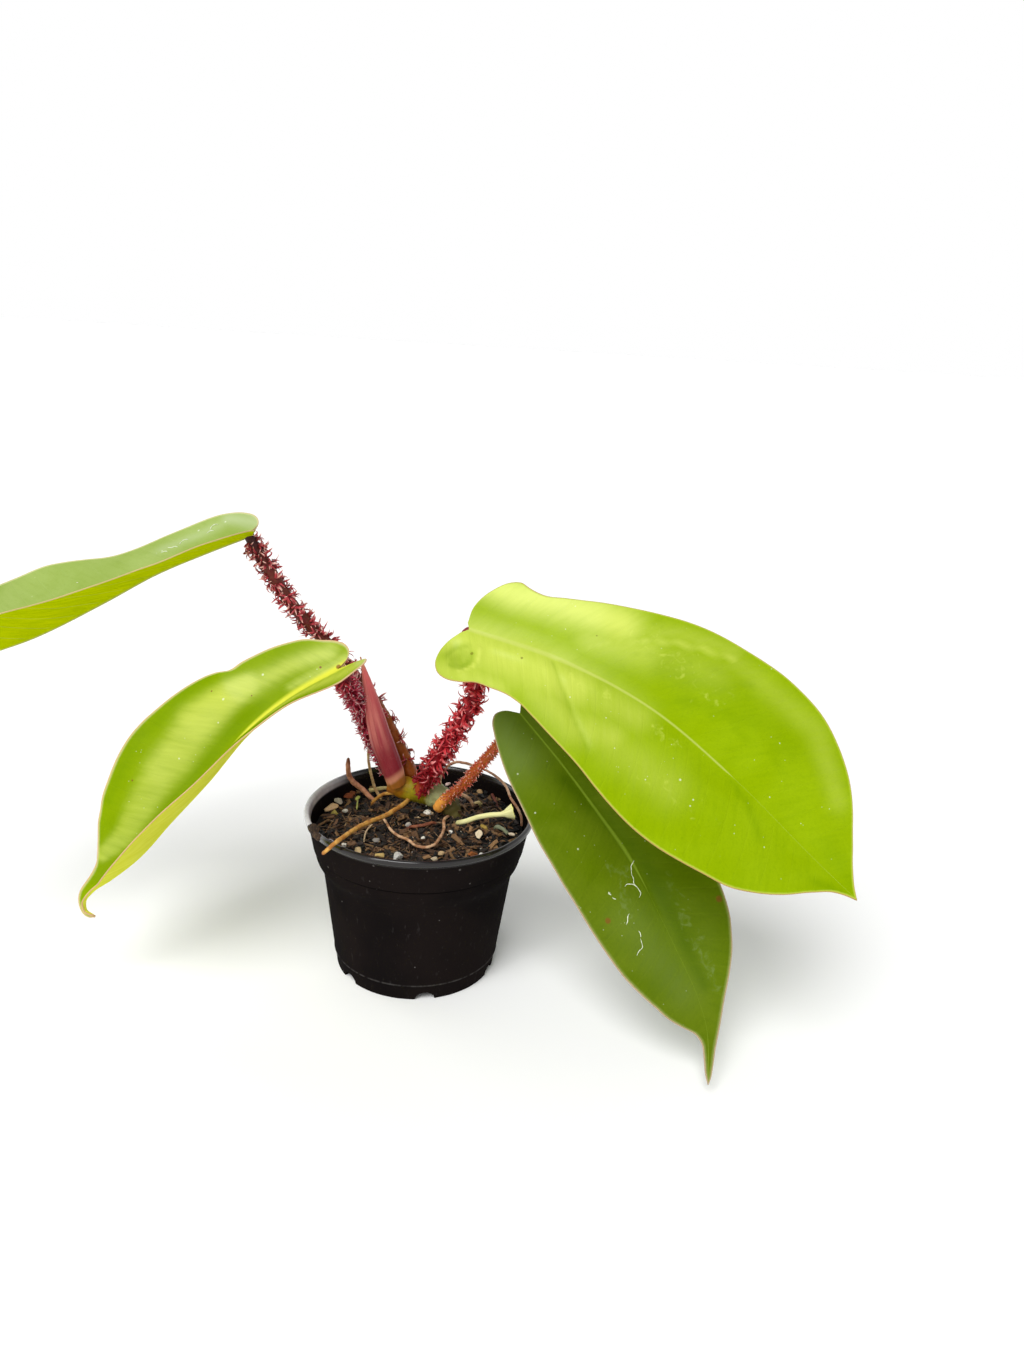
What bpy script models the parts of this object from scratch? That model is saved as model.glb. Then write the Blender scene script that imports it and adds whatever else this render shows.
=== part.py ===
"""A young Philodendron squamiferum in a 60 mm nursery pot.

The plant has a short creeping stem, four bristly petioles that each carry one blade, the
pointed sheath of the newest leaf, a cut petiole stub, and aerial roots that loop over the
potting mix. Lengths in the tables are millimetres, with the origin at the centre of the
pot's base and the viewer on the -Y side.
"""

import math
import random

import bmesh
import bpy
from mathutils import Matrix, Vector, noise

MM = 0.001
GAP = 0.3

# Pot
POT_RIM_RADIUS = 30.0
POT_HEIGHT = 44.0
POT_WALL = 0.8
COLLAR_LOW_Z = 33.5
COLLAR_LOW_RADIUS = 27.4
WALL_TOP_Z = 27.3
WALL_TOP_RADIUS = 25.0
FOOT_RADIUS = 21.3
FOOT_RING_Z = 4.3
FLOOR_Z = 2.6
FLOOR_THICKNESS = 1.0
BOSS_RADIUS = 9.5
DRAIN_COUNT = 6
DRAIN_HOLE_RADIUS = 2.0
DRAIN_CIRCLE_RADIUS = 15.0
NOTCH_WIDTH = 5.0
NOTCH_HEIGHT = 2.1
FRONT_NOTCH_ANGLE = math.radians(-77.5)
POT_STEPS = 40

# Potting mix
SOIL_LEVEL = 38.2
SOIL_STEPS = 32
SOIL_RINGS = 8
SOIL_ROUGHNESS = 0.8
SOIL_EDGE_RADIUS = COLLAR_LOW_RADIUS + 0.9 - POT_WALL - GAP
STEM_MOUND = 1.6
STEM_MOUND_CENTRE = (8.0, 6.0)
STEM_MOUND_SPREAD = 90.0
LUMP_COUNT = 30
LUMP_SIZES = (0.9, 1.8)
LUMP_SINK = 0.3

# Blades
BLADE_THICKNESS = 0.7
RIB_THICKNESS = 1.0
RIB_HALF_WIDTH = 1.3
BLADE_ROWS = 20
BLADE_COLUMNS = (0.0, None, 0.3, 0.55, 0.8, 1.0)
VEIN_SLANT = 0.4

# Bristles
BRISTLE_SIDES = 3
BRISTLE_ROOT_DEPTH = 0.7
BRISTLE_WIDTH = 0.42
BRISTLE_FREE_TOP = 3.2
GOLDEN_ANGLE = 2.39996
SEED = 23

# Tube sampling along a route
PETIOLE_SPACING = 2.6
SHEATH_SPACING = 2.4
STEM_SPACING = 1.8
STUB_SPACING = 1.2
ROOT_SPACING = 1.6


def clean_scene():
    """Removes whatever the start-up file holds."""
    for obj in list(bpy.data.objects):
        bpy.data.objects.remove(obj, do_unlink=True)


def collection(name):
    group = bpy.data.collections.new(name)
    bpy.context.scene.collection.children.link(group)
    return group


def material(name, colour, roughness, metallic=0.0):
    """A Principled material in one colour."""
    mat = bpy.data.materials.new(name)
    mat.use_nodes = True
    shader = mat.node_tree.nodes["Principled BSDF"]
    shader.inputs["Base Color"].default_value = (*colour, 1.0)
    shader.inputs["Roughness"].default_value = roughness
    shader.inputs["Metallic"].default_value = metallic
    mat.diffuse_color = (*colour, 1.0)
    return mat


def place_mesh(name, bm, group, mat=None, smooth_angle=35.0):
    """Turns a bmesh in millimetres into an object in metres."""
    bmesh.ops.scale(bm, vec=(MM, MM, MM), verts=bm.verts)
    mesh = bpy.data.meshes.new(name)
    bm.to_mesh(mesh)
    bm.free()
    mesh.shade_smooth()
    mesh.set_sharp_from_angle(angle=math.radians(smooth_angle))
    obj = bpy.data.objects.new(name, mesh)
    group.objects.link(obj)
    if mat:
        mesh.materials.append(mat)
    return obj


def evaluated_mesh(obj, name):
    """The object's mesh with its modifiers applied, in world space."""
    bpy.context.view_layer.update()
    graph = bpy.context.evaluated_depsgraph_get()
    mesh = bpy.data.meshes.new_from_object(obj.evaluated_get(graph))
    mesh.name = name
    mesh.transform(obj.matrix_world)
    return mesh


def apply_modifiers(obj):
    mesh = evaluated_mesh(obj, obj.name)
    obj.modifiers.clear()
    obj.data = mesh


def hide_cutter(obj):
    obj.hide_render = True
    obj.display_type = "WIRE"


def cut(obj, cutter):
    """Takes a cutter out of an object."""
    boolean = obj.modifiers.new("Cut " + cutter.name, "BOOLEAN")
    boolean.operation = "DIFFERENCE"
    boolean.solver = "EXACT"
    boolean.object = cutter


def grow_on(obj, pieces, group_name):
    """Fuses a collection of small closed meshes into an object and removes them."""
    group = collection(group_name)
    for index, mesh in enumerate(pieces):
        group.objects.link(bpy.data.objects.new(f"{group_name}_{index}", mesh))
    union = obj.modifiers.new("Grow", "BOOLEAN")
    union.operation = "UNION"
    union.solver = "MANIFOLD"
    union.operand_type = "COLLECTION"
    union.collection = group
    apply_modifiers(obj)
    for piece in list(group.objects):
        bpy.data.objects.remove(piece, do_unlink=True)
    bpy.data.collections.remove(group)


# Curves through points

def chord_lengths(points):
    lengths = [0.0]
    for a, b in zip(points, points[1:]):
        lengths.append(lengths[-1] + (Vector(b) - Vector(a)).length)
    return lengths


def along(points, knots, t):
    """A smooth curve through the points, which runs straight on past its ends."""
    points = [Vector(p) for p in points]
    slopes = []
    last = len(points) - 1
    for i in range(len(points)):
        before = (points[i] - points[i - 1]) / (knots[i] - knots[i - 1]) if i > 0 else None
        after = (points[i + 1] - points[i]) / (knots[i + 1] - knots[i]) if i < last else None
        if before is None or after is None:
            slopes.append(after or before)
            continue
        ahead = knots[i + 1] - knots[i]
        behind = knots[i] - knots[i - 1]
        slopes.append((before * ahead + after * behind) / (ahead + behind))
    if t <= knots[0]:
        return points[0] + slopes[0] * (t - knots[0])
    if t >= knots[-1]:
        return points[-1] + slopes[-1] * (t - knots[-1])
    i = max(k for k in range(last) if knots[k] <= t)
    h = knots[i + 1] - knots[i]
    u = (t - knots[i]) / h
    return (
        points[i] * (2 * u**3 - 3 * u**2 + 1)
        + slopes[i] * h * (u**3 - 2 * u**2 + u)
        + points[i + 1] * (3 * u**2 - 2 * u**3)
        + slopes[i + 1] * h * (u**3 - u**2)
    )


def resampled(points, count):
    """Evenly spaced points along the smooth curve through the given ones."""
    knots = chord_lengths(points)
    return [along(points, knots, knots[-1] * i / (count - 1)) for i in range(count)]


def blend_table(table, u):
    """Linear interpolation of (station, value...) rows, as a tuple of values."""
    if u <= table[0][0]:
        return table[0][1:]
    for low, high in zip(table, table[1:]):
        if u <= high[0]:
            share = (u - low[0]) / (high[0] - low[0])
            return tuple(a + (b - a) * share for a, b in zip(low[1:], high[1:]))
    return table[-1][1:]


def clear_of(point, neighbours):
    """True where the point keeps clear of every neighbouring route."""
    for route, radius in neighbours:
        for a, b in zip(route, route[1:]):
            share = max(0.0, min(1.0, (point - a).dot(b - a) / (b - a).length_squared))
            if (point - a - (b - a) * share).length < radius:
                return False
    return True


def tube(name, points, radii, group, mat=None, spacing=3.0, sides=8, extra=0.0):
    """A round tube along a smooth route. Radii are (share of the route, radius) rows."""
    count = max(4, round(chord_lengths(points)[-1] / spacing) + 1)
    route = resampled(points, count)
    curve = bpy.data.curves.new(name, "CURVE")
    curve.dimensions = "3D"
    curve.bevel_depth = MM
    curve.bevel_resolution = (sides - 4) // 2
    curve.use_fill_caps = True
    spline = curve.splines.new("POLY")
    spline.points.add(count - 1)
    for i, (point, co) in enumerate(zip(spline.points, route)):
        point.co = (*(co * MM), 1.0)
        point.radius = blend_table(radii, i / (count - 1))[0] + extra
    shape = bpy.data.objects.new(name + "_curve", curve)
    group.objects.link(shape)
    mesh = evaluated_mesh(shape, name)
    bm = bmesh.new()
    bm.from_mesh(mesh)
    bmesh.ops.remove_doubles(bm, verts=bm.verts, dist=1e-6)
    bmesh.ops.recalc_face_normals(bm, faces=bm.faces)
    bmesh.ops.triangulate(bm, faces=[f for f in bm.faces if len(f.verts) > 4])
    bm.to_mesh(mesh)
    bm.free()
    bpy.data.objects.remove(shape, do_unlink=True)
    mesh.shade_smooth()
    mesh.set_sharp_from_angle(angle=math.radians(50))
    obj = bpy.data.objects.new(name, mesh)
    group.objects.link(obj)
    if mat:
        mesh.materials.append(mat)
    return obj


# The pot and its mix

def turned(name, profile, steps, group, mat):
    """Turns an (radius, height) profile, which runs down its outer side, about Z."""
    bm = bmesh.new()
    verts = [bm.verts.new((r * MM, 0.0, z * MM)) for r, z in profile]
    for a, b in zip(verts, verts[1:]):
        bm.edges.new((a, b))
    mesh = bpy.data.meshes.new(name)
    bm.to_mesh(mesh)
    bm.free()
    mesh.materials.append(mat)
    obj = bpy.data.objects.new(name, mesh)
    group.objects.link(obj)
    screw = obj.modifiers.new("Turn", "SCREW")
    screw.steps = steps
    screw.render_steps = steps
    screw.use_merge_vertices = True
    screw.merge_threshold = 1e-5
    screw.use_smooth_shade = True
    return obj


def inner_wall(clearance):
    """The pot's inside, from the floor's edge to the top of the potting mix, shrunk."""
    off = POT_WALL + clearance
    return [
        (FOOT_RADIUS - off - 0.2, FLOOR_Z + FLOOR_THICKNESS + clearance),
        (WALL_TOP_RADIUS - off, WALL_TOP_Z),
        (WALL_TOP_RADIUS + 1.3 - off, WALL_TOP_Z + 2.0),
        (COLLAR_LOW_RADIUS - 0.3 - off, COLLAR_LOW_Z - 2.0),
        (COLLAR_LOW_RADIUS - off, COLLAR_LOW_Z),
    ]


def make_pot(group, cutters, mat):
    rim, top = POT_RIM_RADIUS, POT_HEIGHT
    inside = [
        (0.0, FLOOR_THICKNESS),
        (BOSS_RADIUS - 0.8, FLOOR_THICKNESS),
        (BOSS_RADIUS + 0.2, FLOOR_Z + FLOOR_THICKNESS),
    ]
    lip = [
        (rim - 1.7, top - 1.6),
        (rim - 1.5, top - 0.6),
        (rim - 1.0, top),
        (rim - 0.3, top - 0.1),
        (rim, top - 0.6),
        (rim - 0.1, top - 1.5),
        (rim - 0.7, top - 1.9),
    ]
    outside = [
        (COLLAR_LOW_RADIUS, COLLAR_LOW_Z),
        (COLLAR_LOW_RADIUS - 0.3, COLLAR_LOW_Z - 2.0),
        (WALL_TOP_RADIUS + 1.3, WALL_TOP_Z + 2.0),
        (WALL_TOP_RADIUS, WALL_TOP_Z),
        (FOOT_RADIUS + 0.7, FOOT_RING_Z),
        (FOOT_RADIUS + 0.4, FOOT_RING_Z - 0.3),
        (FOOT_RADIUS, 0.0),
        (FOOT_RADIUS - 1.0, 0.0),
        (FOOT_RADIUS - 0.8, FLOOR_Z),
        (BOSS_RADIUS + 1.0, FLOOR_Z),
        (BOSS_RADIUS, 0.0),
        (0.0, 0.0),
    ]
    pot = turned("pot", inside + inner_wall(0.0) + lip + outside, POT_STEPS, group, mat)
    for index in range(DRAIN_COUNT):
        angle = FRONT_NOTCH_ANGLE + index * math.tau / DRAIN_COUNT
        spoke = Matrix.Rotation(angle, 4, "Z")
        bm = bmesh.new()
        bmesh.ops.create_cone(
            bm,
            cap_ends=True,
            segments=10,
            radius1=DRAIN_HOLE_RADIUS,
            radius2=DRAIN_HOLE_RADIUS,
            depth=FLOOR_Z + 3 * FLOOR_THICKNESS,
            matrix=spoke @ Matrix.Translation((DRAIN_CIRCLE_RADIUS, 0, FLOOR_Z + FLOOR_THICKNESS)),
        )
        hole = place_mesh(f"drain_cutter_{index}", bm, cutters)
        bm = bmesh.new()
        bmesh.ops.create_cone(
            bm,
            cap_ends=True,
            segments=12,
            radius1=NOTCH_WIDTH / 2,
            radius2=NOTCH_WIDTH / 2,
            depth=4.0,
            matrix=spoke
            @ Matrix.Translation((FOOT_RADIUS, 0, 0))
            @ Matrix.Rotation(math.pi / 2, 4, "Y")
            @ Matrix.Scale(2 * NOTCH_HEIGHT / NOTCH_WIDTH, 4, (1, 0, 0)),
        )
        notch = place_mesh(f"notch_cutter_{index}", bm, cutters)
        for cutter in (hole, notch):
            hide_cutter(cutter)
            cut(pot, cutter)
    return pot


def soil_height(x, y):
    """The mix's surface: level, rough, and drawn up a little round the stem."""
    rough = noise.noise(Vector((x, y, 0.0)) / 4.0) + 0.5 * noise.noise(Vector((x, y, 7.0)) / 1.9)
    away = (x - STEM_MOUND_CENTRE[0]) ** 2 + (y - STEM_MOUND_CENTRE[1]) ** 2
    mound = math.exp(-away / STEM_MOUND_SPREAD)
    return SOIL_LEVEL + SOIL_ROUGHNESS * rough + STEM_MOUND * mound


def make_soil(group, mat, neighbours):
    """A turned plug of mix with a rough top, and lumps fused on clear of the neighbours."""
    wall = inner_wall(GAP)
    top = [(SOIL_EDGE_RADIUS * i / SOIL_RINGS, SOIL_LEVEL) for i in range(SOIL_RINGS + 1)]
    floor = [
        (BOSS_RADIUS + 0.2 - GAP, FLOOR_Z + FLOOR_THICKNESS + GAP),
        (BOSS_RADIUS - 0.8 - GAP, FLOOR_THICKNESS + GAP),
        (0.0, FLOOR_THICKNESS + GAP),
    ]
    profile = top + list(reversed(wall)) + floor
    soil = turned("soil", profile, SOIL_STEPS, group, mat)
    apply_modifiers(soil)
    for vert in soil.data.vertices:
        if vert.co.z > (SOIL_LEVEL - 0.1) * MM:
            vert.co.z = soil_height(vert.co.x / MM, vert.co.y / MM) * MM
    bm = bmesh.new()
    bm.from_mesh(soil.data)
    bmesh.ops.triangulate(bm, faces=bm.faces)
    bm.to_mesh(soil.data)
    bm.free()
    draw = random.Random(SEED)
    lumps = []
    for index in range(LUMP_COUNT):
        turn = index * GOLDEN_ANGLE + draw.uniform(-0.3, 0.3)
        out = 3.0 + (SOIL_EDGE_RADIUS - 5.0) * math.sqrt((index + 0.5) / LUMP_COUNT)
        x, y = out * math.cos(turn), out * math.sin(turn)
        size = draw.uniform(*LUMP_SIZES)
        if not clear_of(Vector((x, y, soil_height(x, y))), neighbours):
            continue
        bm = bmesh.new()
        bmesh.ops.create_icosphere(bm, subdivisions=1, radius=size)
        for vert in bm.verts:
            vert.co *= draw.uniform(0.8, 1.1)
        squash = Matrix.Diagonal((1.0, draw.uniform(0.5, 0.9), draw.uniform(0.55, 0.8), 1.0))
        spin = Matrix.Rotation(draw.uniform(0, math.tau), 4, "Z")
        centre = Matrix.Translation((x, y, soil_height(x, y) - LUMP_SINK))
        bmesh.ops.transform(bm, matrix=centre @ spin @ squash, verts=bm.verts)
        bmesh.ops.scale(bm, vec=(MM, MM, MM), verts=bm.verts)
        mesh = bpy.data.meshes.new(f"lump_{index}")
        bm.to_mesh(mesh)
        bm.free()
        lumps.append(mesh)
    grow_on(soil, lumps, "lumps")
    return soil


# Blades: each half is drawn flat, as distances along and out from the midrib, and then
# folded up from the midrib by an angle and curled towards its margin.

LEAVES = {
    "leaf_1": {
        "rib": [
            (-45.5, 8, 112.6), (-55.5, 5.5, 108.3), (-67.5, 2, 102.7), (-79.5, -1.5, 95.5),
            (-95, -5.5, 86.9), (-111.5, -10.5, 80.2), (-128.5, -15, 69.5), (-136, -18, 62),
        ],
        "face": [
            (0, -0.38, -0.24, 0.89), (0.2, -0.40, -0.11, 0.91), (0.4, -0.47, -0.15, 0.87),
            (0.6, -0.31, -0.07, 0.95), (0.8, -0.44, -0.23, 0.87), (1, -0.57, -0.43, 0.70),
        ],
        "fold": [(0, 27), (0.2, 21), (0.4, 30), (0.6, 33), (1, 33)],
        "fold_near": [(0, 26), (0.2, 18.5), (0.4, 28.5), (0.6, 32), (1, 33)],
        "curl": -3.0,
        "half": [
            (-1, 0.8), (-2.5, 1.8), (-3, 3.5), (-2.5, 5.5), (0, 8), (4, 10.2), (8.5, 12),
            (14.5, 14), (21.5, 15.2), (27.5, 15), (33, 15.8), (40.5, 18.6), (46, 21.2),
            (54, 24.5), (61, 24.8), (68, 23), (76, 19.8), (84, 15.5), (92, 10.3), (99, 5.2),
            (104, 1.8), (106.5, 0.7),
        ],
        "half_near": [
            (-1, 0.8), (-2.5, 2), (-3.2, 4.5), (-2, 7.5), (1.5, 10.5), (8, 14.5), (15, 17),
            (22, 17.6), (29, 18), (36, 20), (42, 21), (47, 23), (54, 26), (61, 25.5),
            (68, 23.5), (76, 20), (84, 15.7), (92, 10.5), (99, 5.3), (104, 1.8), (106.5, 0.7),
        ],
    },
    "leaf_2": {
        "rib": [
            (-21, -5, 82.5), (-33, -8, 75.1), (-41.5, -10.5, 67.8), (-51.5, -14, 55),
            (-60.5, -17, 44.4), (-68, -19.5, 35.4), (-74.5, -21.5, 30), (-78.4, -22.5, 27.2),
            (-80.6, -22.9, 24), (-80.2, -23.4, 21.4), (-77.6, -24, 20.2),
        ],
        "face": [
            (0, -0.39, -0.46, 0.79), (0.2, -0.48, -0.47, 0.74), (0.4, -0.60, -0.51, 0.61),
            (0.6, -0.59, -0.49, 0.64), (0.8, -0.50, -0.42, 0.75), (0.93, -0.80, -0.50, 0.25),
            (1, -0.55, -0.60, -0.55),
        ],
        "fold": [(0, 34), (0.2, 38), (0.4, 42), (0.6, 44), (1, 42)],
        "fold_near": [(0, 25), (0.1, 33), (0.3, 38.5), (0.5, 44), (0.75, 47), (1, 46)],
        "curl": -3.0,
        "half": [
            (-1.2, 0.5), (-3.5, 1.5), (-4.6, 3), (-4.5, 4.7), (-3.2, 6.5), (0.3, 9), (4.5, 11.4),
            (8, 12.5), (12, 13.6), (15.5, 14.3), (18.7, 14.8), (21.2, 14.9), (24, 16.8),
            (27.5, 18.7), (32.5, 20.6), (39.5, 22.1), (46.5, 22.5), (52, 21.8), (55.5, 20.9),
            (59.7, 19.2), (65.5, 17), (71.5, 13.6), (74.8, 9.6), (78, 5.6), (81.5, 3.1),
            (85, 2.3), (88, 1.6), (91, 0.8),
        ],
        "half_near": [
            (-1.2, 0.5), (-5, 1.5), (-7.5, 3.5), (-7, 6), (-4, 8), (0.5, 10), (4.5, 11.5),
            (12, 14), (21, 16), (27.5, 18.5), (32.5, 20.5), (39.5, 22), (46.5, 22.3),
            (52, 21.5), (59.5, 19), (65.5, 16.5), (71.5, 12.5), (75, 9), (78, 5.6), (81.5, 3),
            (85, 2), (88, 1.4), (91, 0.8),
        ],
    },
    "leaf_3": {
        "rib": [
            (11, -8, 95.5), (32.5, -15, 91.5), (54, -22.5, 83.5), (73, -30.5, 71),
            (93, -40, 55), (101, -44, 49),
        ],
        "face": [(0, 0.10, -0.80, 0.60), (0.5, 0.15, -0.78, 0.62), (1, 0.25, -0.80, 0.55)],
        "fold": [(0, 12), (0.5, 10), (1, 5)],
        "fold_near": [(0, 12), (0.5, 10), (1, 5)],
        "curl": -4.0,
        "half": [
            (-1.5, 1.5), (-3.3, 5), (-3.9, 8.5), (-3.3, 12), (-1.6, 14), (0.5, 14.7), (4, 14.3),
            (7.3, 13.2), (11, 13.3), (15, 13.5), (19.7, 14.7), (24.6, 16.6), (30.6, 18.9),
            (39.2, 21.8), (48.4, 24.6), (58.8, 26), (66.2, 25.8), (73, 24.6), (81, 22.3),
            (87.5, 19.8), (91.7, 16.7), (96.5, 12), (100.7, 6.6), (104.5, 2.5), (107, 1),
        ],
        "half_near": [
            (-1, 1.5), (-1.2, 5), (0, 8.5), (2.3, 11.6), (5.3, 14.1), (8.2, 14.9), (10.2, 14.2),
            (14.4, 13.6), (18.8, 14.8), (24.8, 16.8), (31, 18.8), (38, 21.2), (45, 23.6),
            (51.7, 25.5), (59.6, 27.1), (67.8, 28), (76, 27.2), (83.7, 24.4), (89, 21.2),
            (95.5, 15.5), (100.5, 9.5), (104, 4.9), (107, 1.8),
        ],
    },
    "leaf_4": {
        "rib": [
            (24.5, -4, 73.5), (36.5, -10.5, 62), (45.5, -16.5, 52.7), (53, -21.7, 44.5),
            (59, -27.4, 36), (64.2, -33, 28), (69.7, -39.7, 19), (71.6, -43.2, 14.5),
            (72.2, -51.5, 3.7),
        ],
        "face": [(0, 0.05, -0.85, 0.50), (0.5, 0.10, -0.80, 0.62), (1, 0.10, -0.80, 0.50)],
        "fold": [(0, 14), (0.5, 12), (1, 5)],
        "fold_near": [(0, 14), (0.5, 12), (1, 5)],
        "curl": -4.0,
        "half": [
            (-0.8, 0.8), (-2.3, 2), (-3.3, 3.7), (-3.5, 5.3), (-2.6, 6.8), (0.3, 8.7),
            (4.5, 10.8), (9, 12.6), (14, 14), (18.7, 15), (23.7, 16), (28, 16.8), (34.5, 17.5),
            (41.3, 18.2), (48.8, 18), (55, 17.4), (61.5, 16.4), (68, 15), (73, 13.2),
            (78, 11.1), (82.7, 8.6), (86.4, 5.4), (88.7, 2.6), (90.5, 1.5), (93.5, 1),
            (97, 0.6),
        ],
        "half_near": [
            (-1, 1.2), (-3, 3), (-3.6, 5), (-2.6, 7), (0.5, 9), (4.5, 11), (9, 12.6), (14, 14),
            (20, 15.2), (27, 16.6), (34.5, 17.5), (42, 18), (50, 17.8), (56, 17), (62.5, 16.2),
            (66.2, 15.4), (70, 14), (73.4, 12.3), (76.5, 10.1), (80, 7.4), (83.8, 4.9),
            (87.5, 3), (91.5, 1.7), (95.5, 1.1), (98, 0.6),
        ],
    },
}


class Blade:
    """Maps flat leaf coordinates, (along the midrib, out from it), to space."""

    def __init__(self, shape):
        self.shape = shape
        self.knots = chord_lengths(shape["rib"])
        self.length = self.knots[-1]

    def frame(self, a):
        """The midrib's point, its facing direction and the direction of the far half."""
        step = 0.2
        rib = self.shape["rib"]
        tangent = along(rib, self.knots, a + step) - along(rib, self.knots, a - step)
        tangent.normalize()
        face = Vector(blend_table(self.shape["face"], a / self.length))
        face -= tangent * face.dot(tangent)
        face.normalize()
        return along(rib, self.knots, a), face, tangent.cross(face)

    def point(self, a, b):
        """b is positive on the first half and negative on the near one."""
        origin, face, side = self.frame(a)
        table = self.shape["fold"] if b > 0 else self.shape["fold_near"]
        fold = math.radians(blend_table(table, a / self.length)[0])
        curl = math.radians(self.shape["curl"]) / 10
        turned_to = fold + curl * abs(b)
        out = (math.sin(turned_to) - math.sin(fold)) / curl
        rise = (math.cos(fold) - math.cos(turned_to)) / curl
        return origin + side * math.copysign(out, b) + face * rise

    def rows(self):
        """Both halves as rows of flat coordinates, each from the midrib out to the margin."""
        halves = []
        for outline in (self.shape["half"], self.shape["half_near"]):
            points = [(a, b, 0.0) for a, b in outline] + [(self.length, 0.0, 0.0)]
            halves.append(resampled(points, BLADE_ROWS + 1))
        inner = 0.0
        for edges in zip(*halves):
            back = sum(edge.x - VEIN_SLANT * edge.y for edge in edges) / 2
            inner = min(max(inner, back, 0.0), self.length)
            pair = []
            for edge, sign in zip(edges, (1, -1)):
                span = max(math.hypot(edge.x - inner, edge.y), 0.01)
                row = []
                for share in BLADE_COLUMNS:
                    u = min(RIB_HALF_WIDTH / span, 0.2) if share is None else share
                    row.append((inner + (edge.x - inner) * u, sign * edge.y * u))
                pair.append(row)
            yield pair


def make_leaf(name, group, mat=None, clearance=0.0):
    """A blade with a thicker midrib. With a clearance it is the space the blade needs."""
    shape = LEAVES[name]
    blade = Blade(shape)
    bm = bmesh.new()
    ribbed = []
    previous = (None, None)
    for pair in blade.rows():
        lines = []
        for row, before, flip in zip(pair, previous, (False, True)):
            line = [bm.verts.new(blade.point(a, b)) for a, b in row]
            ribbed.append((line[0], row[0][0]))
            if before:
                for k in range(len(line) - 1):
                    corners = [before[k], before[k + 1], line[k + 1], line[k]]
                    bm.faces.new(reversed(corners) if flip else corners)
            lines.append(line)
        previous = lines
    thick = {tuple(round(c, 3) for c in v.co): 1 - 0.8 * a / blade.length for v, a in ribbed}
    bmesh.ops.remove_doubles(bm, verts=bm.verts, dist=0.05)
    bmesh.ops.triangulate(bm, faces=bm.faces)
    bmesh.ops.recalc_face_normals(bm, faces=bm.faces)
    face_up = blade.frame(blade.length / 2)[1]
    if sum((f.normal.dot(face_up) * f.calc_area() for f in bm.faces)) < 0:
        bmesh.ops.reverse_faces(bm, faces=bm.faces)
    weights = []
    for index, vert in enumerate(bm.verts):
        weight = thick.get(tuple(round(c, 3) for c in vert.co), 0.0)
        weights.append((index, weight))
    obj = place_mesh(name, bm, group, mat, smooth_angle=60)
    rib = obj.vertex_groups.new(name="midrib")
    for index, weight in weights:
        rib.add([index], weight, "REPLACE")
    solid = obj.modifiers.new("Thickness", "SOLIDIFY")
    solid.thickness = (RIB_THICKNESS + clearance) * MM
    solid.offset = -1.0
    solid.vertex_group = "midrib"
    solid.thickness_vertex_group = (BLADE_THICKNESS + clearance) / (RIB_THICKNESS + clearance)
    apply_modifiers(obj)
    return obj


# Petioles, stem, sheath, stub and roots: routes as points, radii by share of the route

PETIOLES = {
    "petiole_1": {
        "route": [
            (-3.4, 12.6, 46.6), (-5.5, 13.5, 51.5), (-9, 14, 58.5), (-13.3, 13.5, 66.5),
            (-18.3, 12.5, 73.5), (-23.3, 11.5, 80.7), (-27.4, 10.5, 85.1), (-31, 10, 89),
            (-36.5, 9.2, 96.1), (-41.6, 8.5, 104.4), (-44, 8.3, 108.3), (-45.5, 8.1, 111.3),
        ],
        "radii": [(0, 1.9), (0.1, 1.5), (0.95, 1.4), (1, 1.0)],
        "bristles": 190,
        "length": 1.5,
        "bare": 0.12,
    },
    "petiole_2": {
        "route": [
            (-7.9, 12.4, 46.4), (-9.8, 12.2, 49.5), (-11.7, 11.8, 52.6), (-14, 10.6, 58),
            (-15.7, 8.6, 62.9), (-17.1, 5.4, 69.2), (-18.6, 1.2, 74.6), (-19.8, -2.2, 78.6),
            (-21, -4.4, 81),
        ],
        "radii": [(0, 1.9), (0.1, 1.7), (0.93, 1.8), (1, 1.1)],
        "bristles": 130,
        "length": 2.3,
        "bare": 0.1,
    },
    "petiole_3": {
        "route": [
            (-0.6, 5.6, 45.4), (1, 3.5, 50.7), (3.2, 1, 55.8), (5, 0, 59.8), (6.3, -1.4, 63.2),
            (7.9, -2.5, 66.5), (9.9, -3.5, 70.2), (12, -4.2, 74.6), (13.2, -4.8, 79.4),
            (13.9, -5, 85), (13.2, -5.4, 90.2), (11.3, -6.3, 93.4),
        ],
        "radii": [(0, 1.9), (0.15, 1.75), (0.9, 1.6), (1, 1.6)],
        "bristles": 170,
        "length": 1.9,
        "bare": 0.08,
    },
    "petiole_4": {
        "route": [
            (4, 4.4, 41.6), (5.9, 2, 45.4), (8.6, 0.6, 48.5), (11.5, -0.6, 52.2),
            (14, -1.6, 56.2), (16.4, -2.3, 59.6), (18.5, -2.7, 62.6), (20.5, -2.9, 65.6),
            (22.6, -2.9, 68.9), (24, -2.3, 71.6),
        ],
        "radii": [(0, 2.0), (0.12, 1.6), (0.3, 1.3), (1, 1.3)],
        "bristles": 90,
        "length": 0.8,
        "bare": 0.14,
    },
}

STEM_ROUTE = [
    (-9.4, 10.8, 45.6), (-6.5, 10, 45.2), (-3, 9, 44.8), (1.5, 7.8, 44.8), (5, 6.6, 44.2),
    (8, 5.4, 41.8), (10, 4.4, 38.4), (11, 3.8, 33.5),
]
STEM_RADII = [(0, 2.3), (0.15, 3.0), (0.5, 3.2), (0.8, 2.9), (1, 2.2)]

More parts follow.
